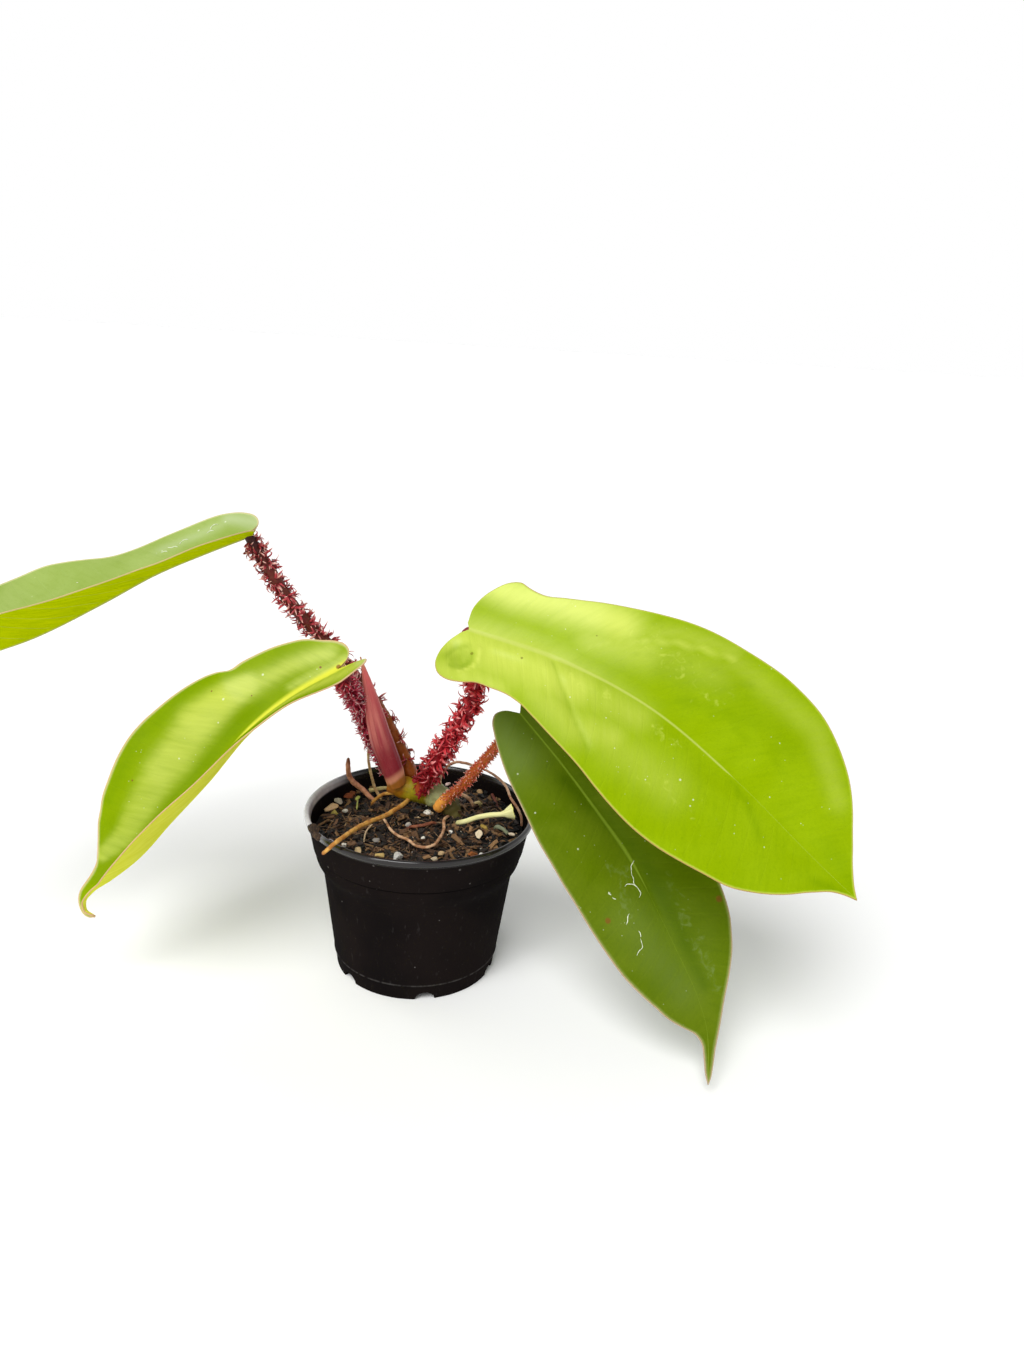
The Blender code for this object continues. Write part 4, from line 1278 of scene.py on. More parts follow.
@dataclass(frozen=True)
class RootSkin:
    """Root skin between two tones, with dry flecks and soil on it."""

    light: Colour
    dark: Colour
    tip: Colour
    soil: Colour = (50, 36, 26)
    tip_start: float = 0.92

    def material(self, name: str) -> bpy.types.Material:
        """Makes the root skin.

        Args:
            name: its name.

        Returns:
            The material.
        """
        g = Graph(name)
        share, turn, _ = g.axes(g.stored("skin"))
        where = g.place()
        patch = g.clouds(where, 0.5, 3)
        grain = g.clouds(where, 2.4, 4)
        streak = g.clouds(g.joined(share * 12, turn * 14, 0), 1, 3)
        tone = g.mix(patch.rise(0.35, 0.65), self.light, self.dark)
        tone = g.mix(streak.rise(0.5, 0.75) * 0.4, tone, self.dark)
        tone = g.mix(share.rise(self.tip_start, 1), tone, self.tip)
        tone = g.mix(grain.rise(0.62, 0.78) * 0.5, tone, self.soil)
        dull = 0.55 + (grain - 0.5) * 0.3
        return g.finish(tone, dull, 0.15, g.relief(grain + streak * 0.6, 0.14))


@dataclass
class Root:
    """One aerial root, a little knotty, with a rounded tip."""

    number: int
    route: Rows
    radii: Rows
    skin: RootSkin

    TIP_LENGTH = 1.2

    def build(self) -> None:
        """Makes the root's piece."""
        tip = self.TIP_LENGTH * self.radii[-1][1] / Line(self.route).length
        last = between(self.radii, 1 - tip)
        inside = [row for row in self.radii if row[0] < 1 - tip]
        ends = [(1 - tip, last), (1 - tip * 0.4, last * 0.8), (1, last * 0.3)]
        tube = Tube(self.route, [*inside, *ends], sides=14, spacing=0.3, swell=0.1, grain=1.1)
        points, _, marks = tube.rings()
        shell = Shell()
        shell.rings(points, skin=marks)
        name = f"aerial_root_{self.number}"
        piece = shell.build(name, self.skin.material(name))
        seat(piece, "root_skin", f"root_{self.number}")


# Potting mix


class Crumb(Enum):
    """The kinds of loose pieces on the mix, as (colours, length, breadth, thickness)."""

    BARK = (((82, 55, 33), (106, 73, 44), (34, 24, 17), (142, 106, 68)), 4.6, 1.3, 0.45)
    DARK = (((10, 8, 6), (18, 14, 11), (40, 28, 20)), 2.2, 1.1, 0.7)
    STRAW = (((160, 126, 86), (126, 92, 60), (186, 152, 108)), 2.8, 0.3, 0.2)

    @property
    def colours(self) -> tuple[Colour, ...]:
        """The colours that a piece may have."""
        return self.value[0]

    @property
    def sizes(self) -> tuple[float, float, float]:
        """Its usual length, breadth and thickness."""
        return self.value[1:]


@dataclass(frozen=True)
class CrumbSkin:
    """Dull granular skin around the colour that is stored on each piece."""

    grime: Colour = (24, 17, 13)
    grime_share: float = 0.45
    roughness: float = 0.85
    level: float = 0.3

    def material(self, name: str) -> bpy.types.Material:
        """Makes the crumbs' skin.

        Args:
            name: its name.

        Returns:
            The material.
        """
        g = Graph(name)
        where = g.place()
        grain = g.clouds(where, 2.2, 5)
        fine = g.clouds(where, 7, 4)
        hue = g.node("ShaderNodeAttribute", {"attribute_name": "hue"}, output="Color")
        tone = g.mix(grain.rise(0.48, 0.72) * self.grime_share, hue, self.grime)
        tone = g.mix(fine.rise(0.5, 0.8) * 0.35, tone, self.grime)
        dull = self.roughness + (fine - 0.5) * 0.2
        return g.finish(tone, dull, self.level, g.relief(grain + fine * 0.6, 0.3))


@dataclass
class PottingMix:
    """The dark mix: a rough plug, and the bark, grit, fibres and grains that lie on it.

    Grains are (x, y, z, size, stretch, colour) rows and sticks are a route with a radius and
    a colour, for those that stand out.
    """

    wall: Rows
    grains: Sequence[tuple[float, float, float, float, float, Colour]]
    sticks: Sequence[tuple[Rows, float, Colour]]
    skin: CrumbSkin = field(default_factory=CrumbSkin)
    edge: float = 27.2
    level: float = 38.2
    roughness: float = 0.8
    mound: float = 2.3
    mound_centre: tuple[float, float] = (11.0, 11.0)
    mound_spread: float = 140.0
    counts: Mapping[Crumb, int] = field(
        default_factory=lambda: {Crumb.BARK: 620, Crumb.DARK: 900, Crumb.STRAW: 70}
    )
    beads: int = 300
    fibres: int = 520
    strays: float = 0.6

    RINGS = 84
    SPOKES = 200
    CUBE_FACES = (
        (0, 1, 3, 2), (4, 6, 7, 5), (0, 4, 5, 1), (2, 3, 7, 6), (0, 2, 6, 4), (1, 5, 7, 3),
    )
    BEAD_COLOURS = (
        (242, 236, 222), (214, 196, 162), (186, 160, 122), (160, 132, 96), (232, 224, 206),
        (128, 98, 68), (110, 84, 60), (170, 128, 84),
    )
    FIBRE_COLOURS = (
        (92, 64, 44), (70, 50, 36), (130, 96, 66), (52, 38, 28), (42, 31, 24), (150, 118, 86),
    )

    def height(self, x: Array, y: Array) -> Array:
        """Works out the mix's surface: rough, and drawn up a little round the stem.

        Args:
            x: the places' x.
            y: the places' y.

        Returns:
            The height of each place.
        """
        flat = np.stack((x, y, np.zeros_like(x)), axis=-1)
        swell = rough(flat, 4.0) + 0.5 * rough(flat + (0, 0, 7.0), 1.9)
        away = (x - self.mound_centre[0]) ** 2 + (y - self.mound_centre[1]) ** 2
        return self.level + self.roughness * swell + self.mound * np.exp(-away / self.mound_spread)

    def plug(self) -> None:
        """Makes the plug, with a finely broken top."""
        turns = np.linspace(0, math.tau, self.SPOKES, endpoint=False)
        radii = self.edge * np.linspace(0.002, 1, self.RINGS)
        x, y = radii[:, None] * np.cos(turns), radii[:, None] * np.sin(turns)
        z = self.height(x, y)
        flat = np.stack((x, y, np.zeros_like(x)), axis=-1)
        crumbs = np.abs(rough(flat, 1.1, 3.0)) * 1.1 + rough(flat, 0.5, 9.0) * 0.22
        z = z + (crumbs - 0.25) * np.clip((self.edge - radii) / 0.5, 0, 1)[:, None]
        top = np.stack((x, y, z), axis=-1)
        low = [
            np.stack((r * np.cos(turns), r * np.sin(turns), np.full_like(turns, h)), axis=-1)
            for r, h in self.wall
        ]
        points = np.concatenate((top, np.array(low)))
        hue = linear((11, 8, 7))[:3]
        shell = Shell()
        shell.rings(points, hue=hue)
        piece = shell.build("potting_mix", self.skin.material("potting_mix"))
        seat(piece, "potting_mix", "soil")

    def spread(self, draw: np.random.Generator, count: int, inset: float) -> tuple[Array, Array]:
        """Scatters places over the mix, in clumps with bare hollows between them.

        Args:
            draw: the seeded chance.
            count: how many places.
            inset: how far they stay from the pot.

        Returns:
            Their x and y.
        """
        radius = (self.edge - inset) * np.sqrt(draw.random(count * 2))
        turn = draw.uniform(0, math.tau, count * 2)
        flat = np.stack((radius * np.cos(turn), radius * np.sin(turn), 0 * turn), axis=-1)
        liking = rough(flat, 2.4, 5.0) + draw.normal(0, self.strays, turn.size)
        x, y, _ = flat[np.argsort(-liking)[:count]].T
        return x, y

    def crumbs(self) -> None:
        """Makes the bark, the dark crumbs and the straws, as broken angular bits."""
        draw = np.random.default_rng(7)
        shell = Shell()
        cube = np.array([(x, y, z) for x in (-1, 1) for y in (-1, 1) for z in (-1, 1)], float)
        for kind, count in self.counts.items():
            length, breadth, thick = kind.sizes
            x, y = self.spread(draw, count, 0.4 + length * 0.3)
            z = self.height(x, y)
            for k in range(count):
                size = np.array((length, breadth, thick)) * draw.uniform(0.35, 1.1) / 2
                corners = cube * (1 + draw.uniform(-0.35, 0.2, (8, 3))) * size
                corners[:, 1:] *= np.where(corners[:, :1] > 0, draw.uniform(0.3, 1.0), 1.0)
                turn = Matrix.Rotation(draw.uniform(0, math.tau), 3, "Z")
                tilt = Matrix.Rotation(draw.normal(0, 0.35), 3, "Y")
                roll = Matrix.Rotation(draw.normal(0, 0.6), 3, "X")
                spin = np.array(turn @ tilt @ roll)
                place = (x[k], y[k], z[k] + draw.uniform(-0.1, 0.8))
                colour = kind.colours[draw.integers(len(kind.colours))]
                hue = np.array(linear(colour)[:3]) * draw.uniform(0.6, 1.15)
                shell.add(corners @ spin.T + place, self.CUBE_FACES, hue=hue)
        skin = CrumbSkin(grime_share=0.4, roughness=0.5, level=0.4)
        piece = shell.build("bark", skin.material("bark"), sharp=30)
        seat(piece, "potting_mix")

    def grit(self) -> None:
        """Makes the round grit and the grains that stand out."""
        draw = np.random.default_rng(11)
        bm = bmesh.new()
        bmesh.ops.create_icosphere(bm, subdivisions=2, radius=1.0)
        ball = np.array([v.co for v in bm.verts])
        faces = np.array([[v.index for v in f.verts] for f in bm.faces])
        bm.free()
        shell = Shell()

        def stone(place: Sequence[float], size: float, stretch: float, colour: Colour) -> None:
            """Adds one stone.

            Args:
                place: its middle.
                size: its breadth.
                stretch: its length for a breadth of 1.
                colour: its colour.
            """
            shape = ball * (1 + 0.3 * rough(ball + draw.uniform(0, 99, 3), 0.9))[:, None]
            for way in unit(draw.normal(size=(11, 3))):
                past = np.maximum(shape @ way - draw.uniform(0.42, 0.8), 0)
                shape = shape - past[:, None] * way
            shape = shape * (stretch, 1.0, draw.uniform(0.7, 1.0)) * size / 1.6
            turn = Matrix.Rotation(draw.uniform(0, math.tau), 3, "Z")
            spin = np.array(turn @ Matrix.Rotation(draw.normal(0, 0.3), 3, "Y"))
            hue = np.array(linear(colour)[:3]) * draw.uniform(0.85, 1.1)
            shell.add(shape @ spin.T + place, faces, hue=hue)

        x, y = self.spread(draw, self.beads, 0.8)
        z = self.height(x, y)
        for k in range(self.beads):
            size = draw.uniform(0.2, 0.55) if k % 12 else draw.uniform(0.7, 1.1)
            colour = self.BEAD_COLOURS[draw.integers(len(self.BEAD_COLOURS))]
            place = (x[k], y[k], z[k] + draw.uniform(0.05, 0.5))
            stone(place, size, draw.uniform(1.0, 1.5), colour)
        for px, py, pz, size, stretch, colour in self.grains:
            top = float(self.height(np.array(px), np.array(py))) + size * 0.2
            stone((px, py, max(pz, top)), size, stretch, colour)
        skin = CrumbSkin(grime=(136, 104, 70), grime_share=0.32)
        piece = shell.build("grit", skin.material("grit"), sharp=24)
        seat(piece, "potting_mix")

    def threads(self) -> None:
        """Makes the fine root fibres and the sticks."""
        draw = np.random.default_rng(19)
        shell = Shell()
        x, y = self.spread(draw, self.fibres, 3.0)
        for k in range(self.fibres):
            steps = draw.normal(0, 0.5, 6).cumsum() + draw.uniform(0, math.tau)
            reach = draw.uniform(0.5, 1.5)
            px = x[k] + np.concatenate(([0], np.cumsum(np.cos(steps) * reach)))
            py = y[k] + np.concatenate(([0], np.cumsum(np.sin(steps) * reach)))
            keep = np.hypot(px, py) < self.edge - 0.6
            if keep.sum() < 4:
                continue
            px, py = px[keep], py[keep]
            lift = self.height(px, py) + draw.uniform(0.2, 0.8, px.size)
            route = np.stack((px, py, lift), axis=-1)
            tube = Tube(route, [(0, draw.uniform(0.07, 0.22)), (1, 0.05)], sides=6)
            colour = self.FIBRE_COLOURS[draw.integers(len(self.FIBRE_COLOURS))]
            shell.rings(tube.rings()[0], hue=linear(colour)[:3])
        for route, radius, colour in self.sticks:
            route = np.array(route, float)
            top = self.height(route[:, 0], route[:, 1]) + radius * 0.4
            route[1:, 2] = np.maximum(route[1:, 2], top[1:])
            tube = Tube(route, [(0, radius), (1, radius * 0.8)], sides=12, spacing=0.3, swell=0.1)
            shell.rings(tube.rings()[0], hue=linear(colour)[:3])
        skin = CrumbSkin(grime_share=0.25, roughness=0.55, level=0.5)
        piece = shell.build("fibres", skin.material("fibres"))
        seat(piece, "potting_mix")

    def build(self) -> None:
        """Makes all of the mix's pieces."""
        self.plug()
        self.crumbs()
        self.grit()
        self.threads()


# Pot


@dataclass(frozen=True)
class PotPlastic:
    """Black nursery pot plastic with dust and small scuffs.

    Scuffs are (x, y, z, radius) rows.
    """

    scuffs: Rows
    black: Colour = (17, 14, 14)
    brown: Colour = (24, 19, 18)
    dust: Colour = (70, 68, 66)
    # painted shade along the small step under the collar
    step_shade: Colour = (5, 4, 4)
    scuff: Colour = (112, 108, 104)
    # painted highlight colour for the left side of the lip
    lip_highlight: Colour = (206, 204, 210)

    STEP_SHADE_HEIGHTS = ((33.9, 34.15), (34.35, 34.6))
    FOOT_HEIGHTS = ((3.9, 4.2), (4.5, 4.8))
    LIP_HEIGHTS = (41.6, 42.4)
    COAT_ROUGHNESS = 0.17

    def material(self, name: str) -> bpy.types.Material:
        """Makes the plastic.

        Args:
            name: its name.

        Returns:
            The material.
        """
        g = Graph(name)
        where = g.place()
        cloud = g.clouds(where, 0.05, 3)
        grain = g.clouds(where, 2.5, 4)
        rubbed = g.clouds(g.stretched(where, (1, 1, 0.35)), 0.9, 5)
        tone = g.mix(cloud.rise(0.35, 0.65), self.black, self.brown)
        tone = g.mix(rubbed.rise(0.62, 0.8) * 0.25, tone, self.dust)
        specks = (1 - g.cells(where, 0.55).rise(0.03, 0.09)) * cloud.rise(0.4, 0.6)
        tone = g.mix(specks * 0.5, tone, self.dust)
        across, _, high = g.axes(where)
        step_shade, foot = (
            high.rise(*start) * (1 - high.rise(*stop))
            for start, stop in (self.STEP_SHADE_HEIGHTS, self.FOOT_HEIGHTS)
        )
        # painted shade: a dark line along the small step under the collar
        tone = g.mix(step_shade * 0.8, tone, self.step_shade)
        tone = g.mix(foot * rubbed.rise(0.3, 0.6) * 0.5, tone, self.dust)
        lip = high.rise(*self.LIP_HEIGHTS)
        # painted highlight: the top of the lip on its left side is paled, broken up by the rubbed
        # noise
        lip_highlight_share = lip * (across * -1).rise(20, 27)
        tone = g.mix(lip_highlight_share * (0.6 + rubbed * 0.5), tone, self.lip_highlight)
        scuffs = g.spots(where, self.scuffs)
        tone = g.mix(scuffs * 0.5, tone, self.scuff)
        dull = 0.42 + (rubbed - 0.5) * 0.25 + scuffs * 0.3
        coat = (lip * 0.95 + 0.03, self.COAT_ROUGHNESS)
        return g.finish(tone, dull, 0.0, g.relief(grain * 0.4 + rubbed, 0.05), coat)


@dataclass
class Pot:
    """The turned pot, with drain holes in its floor and arched notches in its foot.

    The profile's rows are (radius, height, rounding of that corner), from the middle of the
    floor's upper side up the inside, over the lip and down to the middle of the underside.
    """

    profile: Rows
    plastic: PotPlastic
    foot_radius: float = 21.3
    floor: float = 2.6
    floor_thickness: float = 1.0
    drains: int = 6
    drain_radius: float = 2.0
    drain_circle: float = 15.0
    notch_width: float = 5.0
    notch_height: float = 2.1
    first_notch: float = math.radians(-77.5)
    steps: int = 180

    ROUND_POINTS = 5
    ROUND_SHARE = 0.45
    SHARP = 38

    def rounded(self) -> Array:
        """Rounds the profile's corners.

        Returns:
            (radius, height) rows.
        """
        rows = np.array(self.profile, float)
        points = [rows[0, :2]]
        for before, (*corner, radius), after in zip(rows[:-2], rows[1:-1], rows[2:]):
            corner = np.array(corner)
            back, ahead = before[:2] - corner, after[:2] - corner
            reach = [min(radius, np.linalg.norm(way) * self.ROUND_SHARE) for way in (back, ahead)]
            start = corner + unit(back) * reach[0]
            stop = corner + unit(ahead) * reach[1]
            for u in np.linspace(0, 1, self.ROUND_POINTS if radius else 1):
                points.append(start * (1 - u) ** 2 + corner * 2 * u * (1 - u) + stop * u**2)
        points.append(rows[-1, :2])
        return np.array(points)

    def cutters(self) -> bpy.types.Object:
        """Makes the rods that cut the drain holes and notches.

        Returns:
            All of them in one object.
        """
        bm = bmesh.new()
        for index in range(self.drains):
            spoke = Matrix.Rotation(self.first_notch + index * math.tau / self.drains, 4, "Z")
            height = self.floor + 3 * self.floor_thickness
            middle = self.floor + self.floor_thickness
            hole = spoke @ Matrix.Translation((self.drain_circle, 0, middle))
            lying = spoke @ Matrix.Translation((self.foot_radius, 0, 0))
            lying = lying @ Matrix.Rotation(math.pi / 2, 4, "Y")
            lying = lying @ Matrix.Scale(2 * self.notch_height / self.notch_width, 4, (1, 0, 0))
            rods = ((hole, self.drain_radius, height), (lying, self.notch_width / 2, 4.0))
            for matrix, radius, depth in rods:
                round_rod = {"radius1": radius, "radius2": radius, "segments": 40}
                bmesh.ops.create_cone(bm, cap_ends=True, depth=depth, matrix=matrix, **round_rod)
        bmesh.ops.scale(bm, vec=(MM, MM, MM), verts=bm.verts)
        mesh = bpy.data.meshes.new("rods")
        bm.to_mesh(mesh)
        bm.free()
        rods = bpy.data.objects.new("rods", mesh)
        bpy.context.scene.collection.objects.link(rods)
        return rods

    def build(self) -> None:
        """Makes the pot's piece."""
        profile = self.rounded()
        turns = np.linspace(0, math.tau, self.steps, endpoint=False)
        radius, height = np.maximum(profile[:, :1], 0.02), profile[:, 1:]
        points = np.stack(
            (radius * np.cos(turns), radius * np.sin(turns), height + 0 * turns), axis=-1
        )
        shell = Shell()
        shell.rings(points)
        piece = shell.build("nursery_pot", self.plastic.material("nursery_pot"))
        rods = self.cutters()
        cut = piece.modifiers.new("holes", "BOOLEAN")
        cut.operation, cut.solver, cut.object = "DIFFERENCE", "EXACT", rods
        bpy.context.view_layer.update()
        graph = bpy.context.evaluated_depsgraph_get()
        mesh = bpy.data.meshes.new_from_object(piece.evaluated_get(graph))
        piece.modifiers.clear()
        piece.data = mesh
        bpy.data.objects.remove(rods)
        mesh.shade_smooth()
        mesh.set_sharp_from_angle(angle=math.radians(self.SHARP))
        seat(piece, "pot_plastic", "pot")


# Studio


@dataclass(frozen=True)
class Softbox:
    """A rectangular soft light, with its brightness as seen straight on."""

    name: str
    place: Point
    target: Point
    size: tuple[float, float]
    brightness: float

    def build(self) -> None:
        """Hangs the light."""
        lamp = bpy.data.lights.new(self.name, "AREA")
        lamp.shape = "RECTANGLE"
        lamp.size, lamp.size_y = (side * MM for side in self.size)
        lamp.energy = self.brightness * math.pi * lamp.size * lamp.size_y
        light = bpy.data.objects.new(self.name, lamp)
        bpy.context.scene.collection.objects.link(light)
        place, target = Vector(self.place) * MM, Vector(self.target) * MM
        light.location = place
        light.rotation_euler = (target - place).to_track_quat("-Z", "Y").to_euler()


@dataclass
class Daylight:
    """One broad soft light from far away.

    Side is its compass angle from the viewer's side, positive to the right, and height is its
    angle over the floor. Spread is how wide it looks. Brightness is what it adds to a white
    sheet that faces it.
    """

    name: str
    side: float
    height: float
    spread: float
    brightness: float

    def build(self) -> None:
        """Hangs the light."""
        lamp = bpy.data.lights.new(self.name, "SUN")
        lamp.angle = math.radians(self.spread)
        lamp.energy = self.brightness * math.pi
        light = bpy.data.objects.new(self.name, lamp)
        bpy.context.scene.collection.objects.link(light)
        turns = (90 - self.height, 0, self.side)
        light.rotation_euler = [math.radians(angle) for angle in turns]


@dataclass
class Studio:
    """The pale floor, the white surroundings, the soft lights and the camera.

    The surroundings are white up to a low height and dimmer overhead.
    """

    lights: Sequence[Softbox | Daylight]
    overhead: Colour = (150, 151, 153)
    floor_tone: Colour = (251, 251, 250)
    floor_shade: Colour = (246, 246, 244)
    floor_reach: float = 30000.0
    floor_gap: float = 0.02
    camera_place: Point = (22.0603, -246.1278, 161.3974)
    camera_turn: Point = (71.68849, -3.30418, 1.09275)
    lens: float = 27.165
    sensor: float = 36.0

    def floor(self) -> None:
        """Lays the floor."""
        g = Graph("studio_floor")
        grain = g.clouds(g.place(), 0.01, 2)
        tone = g.mix(grain * 0.2, self.floor_tone, self.floor_shade)
        corners = np.array(((-1, -1, 0), (1, -1, 0), (1, 1, 0), (-1, 1, 0)))
        shell = Shell()
        shell.add(corners * self.floor_reach, [[0, 1, 2, 3]])
        floor = shell.build("studio_floor", g.finish(tone, 0.9))
        floor.location.z = -self.floor_gap * MM

    def surroundings(self) -> bpy.types.World:
        """Makes the white surroundings.

        Returns:
            The world.
        """
        g = Graph("soft_white", world=True)
        way = g.node("ShaderNodeTexCoord", output="Generated")
        _, _, height = g.axes(way)
        tone = g.mix(height.rise(0.34, 0.72), WHITE, self.overhead)
        sky = g.node("ShaderNodeBackground", inputs={"Color": tone})
        g.node("ShaderNodeOutputWorld", inputs={"Surface": sky})
        return g.owner

    def build(self) -> None:
        """Sets everything up."""
        scene = bpy.context.scene
        scene.world = self.surroundings()
        scene.view_settings.view_transform = "Standard"
        self.floor()
        for light in self.lights:
            light.build()
        camera = bpy.data.objects.new("camera", bpy.data.cameras.new("camera"))
        camera.data.sensor_fit = "VERTICAL"
        camera.data.sensor_height = self.sensor
        camera.data.lens = self.lens
        camera.data.clip_start = 0.01
        camera.data.clip_end = 100.0
        camera.location = Vector(self.camera_place) * MM
        camera.rotation_euler = [math.radians(angle) for angle in self.camera_turn]
        scene.collection.objects.link(camera)
        scene.camera = camera


# The plant and its pot

BLADE_1 = Blade(
    number=1,
    rib=(
        (-45.5, 8, 112.6), (-55.5, 5.5, 108.3), (-67.5, 2, 102.7), (-79.5, -1.5, 95.5),
        (-95, -5.5, 86.9), (-111.5, -10.5, 80.2), (-128.5, -15, 69.5), (-136, -18, 62),
    ),
    face=(
        (0, -0.38, -0.24, 0.89), (0.2, -0.4, -0.11, 0.91), (0.4, -0.47, -0.15, 0.87),
        (0.6, -0.31, -0.07, 0.95), (0.8, -0.44, -0.23, 0.87), (1, -0.57, -0.43, 0.7),
    ),
    fold=((0, 27), (0.2, 21), (0.4, 30), (0.6, 33), (1, 33)),
    fold_near=((0, 26), (0.2, 18.5), (0.4, 28.5), (0.6, 32), (1, 33)), curl=-3,
    half=(
        (-1, 0.8), (-2.5, 1.8), (-3, 3.5), (-2.5, 5.5), (0, 8), (4, 10.2), (8.5, 12), (14.5, 14),
        (21.5, 15.2), (27.5, 15), (33, 15.8), (40.5, 18.6), (46, 21.2), (54, 24.5), (61, 24.8),
        (68, 23), (76, 19.8), (84, 15.5), (92, 10.3), (99, 5.2), (104, 1.8), (106.5, 0.7),
    ),
    half_near=(
        (-0.6, 0.8), (-1.3, 2), (-1.4, 4.5), (-0.2, 7.5), (2.4, 10.6), (8, 14.5), (15, 17),
        (22, 17.6), (29, 18), (36, 20), (42, 21), (47, 23), (54, 26), (61, 25.5), (68, 23.5),
        (76, 20), (84, 15.7), (92, 10.5), (99, 5.3), (104, 1.8), (106.5, 0.7),
    ),
    # The upper tones are paled and greyed to paint the sheen of the upper side, and the pale
    # strokes at the base paint more of it.
    skin=LeafSkin(
        upper=(139, 161, 72), bright=(150, 170, 88), deep=(118, 144, 42), painted_sheen_and_wear=(172, 187, 133),
        rib=(176, 181, 92), vein=(155, 174, 96), rim=(191, 194, 139), hem=(196, 176, 120),
        under=(172, 189, 0), under_bright=(188, 200, 0), under_far=(140, 160, 62),
        flecks=((12, 9.5, 0.35), (22, 8, 0.3), (5, 7.4, 0.3)),
    ),
    rib_line=((0, 1.1), (0.3, 0.8), (1, 0.3)),
    pale=(Stroke(((-2.3, 3.3, 3), (4, 8, 2)), 0.8), Stroke(((6, 7, 2), (22, 9, 2)), 0.35)),
    wander=0.3,
    lint=(
        ((15.1, 8), (15.9, 8.6), (16.8, 8.4), (17.4, 7.6)), ((8.4, 6.2), (9.2, 6.8), (10.2, 6.6)),
        ((18, 6.6), (18.6, 7.4), (19.6, 7.6), (20.4, 8.4)),
        ((7, 7.8), (7.8, 8.3), (8.8, 8), (9.2, 7.2)), ((20.8, 6.6), (21.4, 7.2), (22.4, 7.2)),
        ((44.3, 10.9), (44.8, 11.3)),
    ),
)

BLADE_2 = Blade(
    number=2,
    rib=(
        (-21, -5, 82.5), (-33, -8, 75.1), (-41.5, -10.5, 67.8), (-51.5, -14, 55),
        (-60.5, -17, 44.4), (-68, -19.5, 35.4), (-74.5, -21.5, 30), (-78.4, -22.5, 27.2),
        (-80.6, -22.9, 24), (-80.2, -23.4, 21.4), (-77.6, -24, 20.2),
    ),
    face=(
        (0, -0.39, -0.46, 0.79), (0.2, -0.48, -0.47, 0.74), (0.4, -0.6, -0.51, 0.61),
        (0.6, -0.59, -0.49, 0.64), (0.8, -0.5, -0.42, 0.75), (0.93, -0.8, -0.5, 0.25),
        (1, -0.55, -0.6, -0.55),
    ),
    fold=((0, 34), (0.2, 38), (0.4, 42), (0.6, 44), (1, 42)),
    fold_near=((0, 25), (0.1, 33), (0.3, 38.5), (0.5, 44), (0.75, 47), (1, 46)), curl=-3,
    half=(
        (-1.2, 0.5), (-3.5, 1.5), (-4.6, 3), (-4.5, 4.7), (-3.2, 6.5), (0.3, 9), (4.5, 11.4),
        (8, 12.5), (12, 13.6), (15.5, 14.3), (18.7, 14.8), (21.2, 14.9), (24, 16.8), (27.5, 18.7),
        (32.5, 20.6), (39.5, 22.1), (46.5, 22.5), (52, 21.8), (55.5, 20.9), (59.7, 19.2),
        (65.5, 17), (71.5, 13.6), (74.8, 9.6), (78, 5.6), (81.5, 3.1), (85, 2.3), (88, 1.6),
        (91, 0.8),
    ),
    half_near=(
        (-1.2, 0.5), (-5, 1.5), (-7.5, 3.5), (-7, 6), (-4, 8), (0.5, 10), (4.5, 11.5), (12, 14),
        (21, 16), (27.5, 18.5), (32.5, 20.5), (39.5, 22), (46.5, 22.3), (52, 21.5), (59.5, 19),
        (65.5, 16.5), (71.5, 12.5), (75, 9), (78, 5.6), (81.5, 3), (85, 2), (88, 1.4), (91, 0.8),
    ),
    # The rib colour is raised to paint the highlight along the fold from the base to the middle.
    skin=LeafSkin(
        upper=(122, 148, 0), bright=(130, 155, 3), deep=(107, 138, 0), painted_sheen_and_wear=(184, 196, 70),
        rib=(228, 226, 74), vein=(138, 159, 25), rim=(184, 182, 114), hem=(206, 170, 124),
        under=(212, 216, 62), under_bright=(220, 224, 80), under_far=(156, 178, 56),
        vein_share=0.07,
        flecks=((16.1, 8.8, 0.35), (26.2, 10.1, 0.35), (30.5, 7, 0.25), (44, 9, 0.3)),
        blots=(
            (3.6, 2.7, 0.4), (26.9, 13.8, 0.25), (20.9, 6.1, 0.25), (56.2, 14, 0.3),
            (-0.4, 0.5, 0.8),
        ),
        blot=(122, 48, 36), roughness=0.34, sheen_patch_gloss=0.45, gloss=0.04, feather=2.4, hush=0.6,
    ),
    rib_line=((0, 1.5), (0.15, 1.1), (0.3, 0.7), (1, 0.3)),
    # The pale strokes paint the sheen band from the base along the middle of the far half, and
    # sheen on the near half.
    pale=(
        Stroke(((0, 5, 2.6), (10, 7, 2.2), (20, 8, 2.6)), 0.64),
        Stroke(((-3, 1.6, 1.6), (4, 1.8, 1.8), (12, 2, 1.2)), 0.5),
        Stroke(((-7, -4, 4), (0, -4.5, 4), (10, -4.5, 3.6), (24, -3, 2)), 0.8),
        Stroke(((20, 8.8, 3.2), (34, 11.2, 5.4)), 0.86, 4),
        Stroke(((34, 11.2, 5.2), (50, 9.8, 4.8)), 0.7, 4),
        Stroke(((50, 9.8, 4.8), (67, 6.2, 3), (76, 6, 1.8)), 0.55, 4),
    ),
    dark=(
        Stroke(((14, 14.5, 1.2), (30, 18.8, 1.8), (48, 20.5, 2), (64, 15.5, 1.6)), 0.5),
        Stroke(((20, 3, 1.2), (45, 3, 1.6), (70, 2.4, 1.2)), 0.5),
    ),
    swells=(Stroke(((26, 6, 2.6), (24, 15, 2.2)), 0.3), Stroke(((42, 5, 3), (45, 20, 2.6)), -0.25)),
    wander=0.35,
)

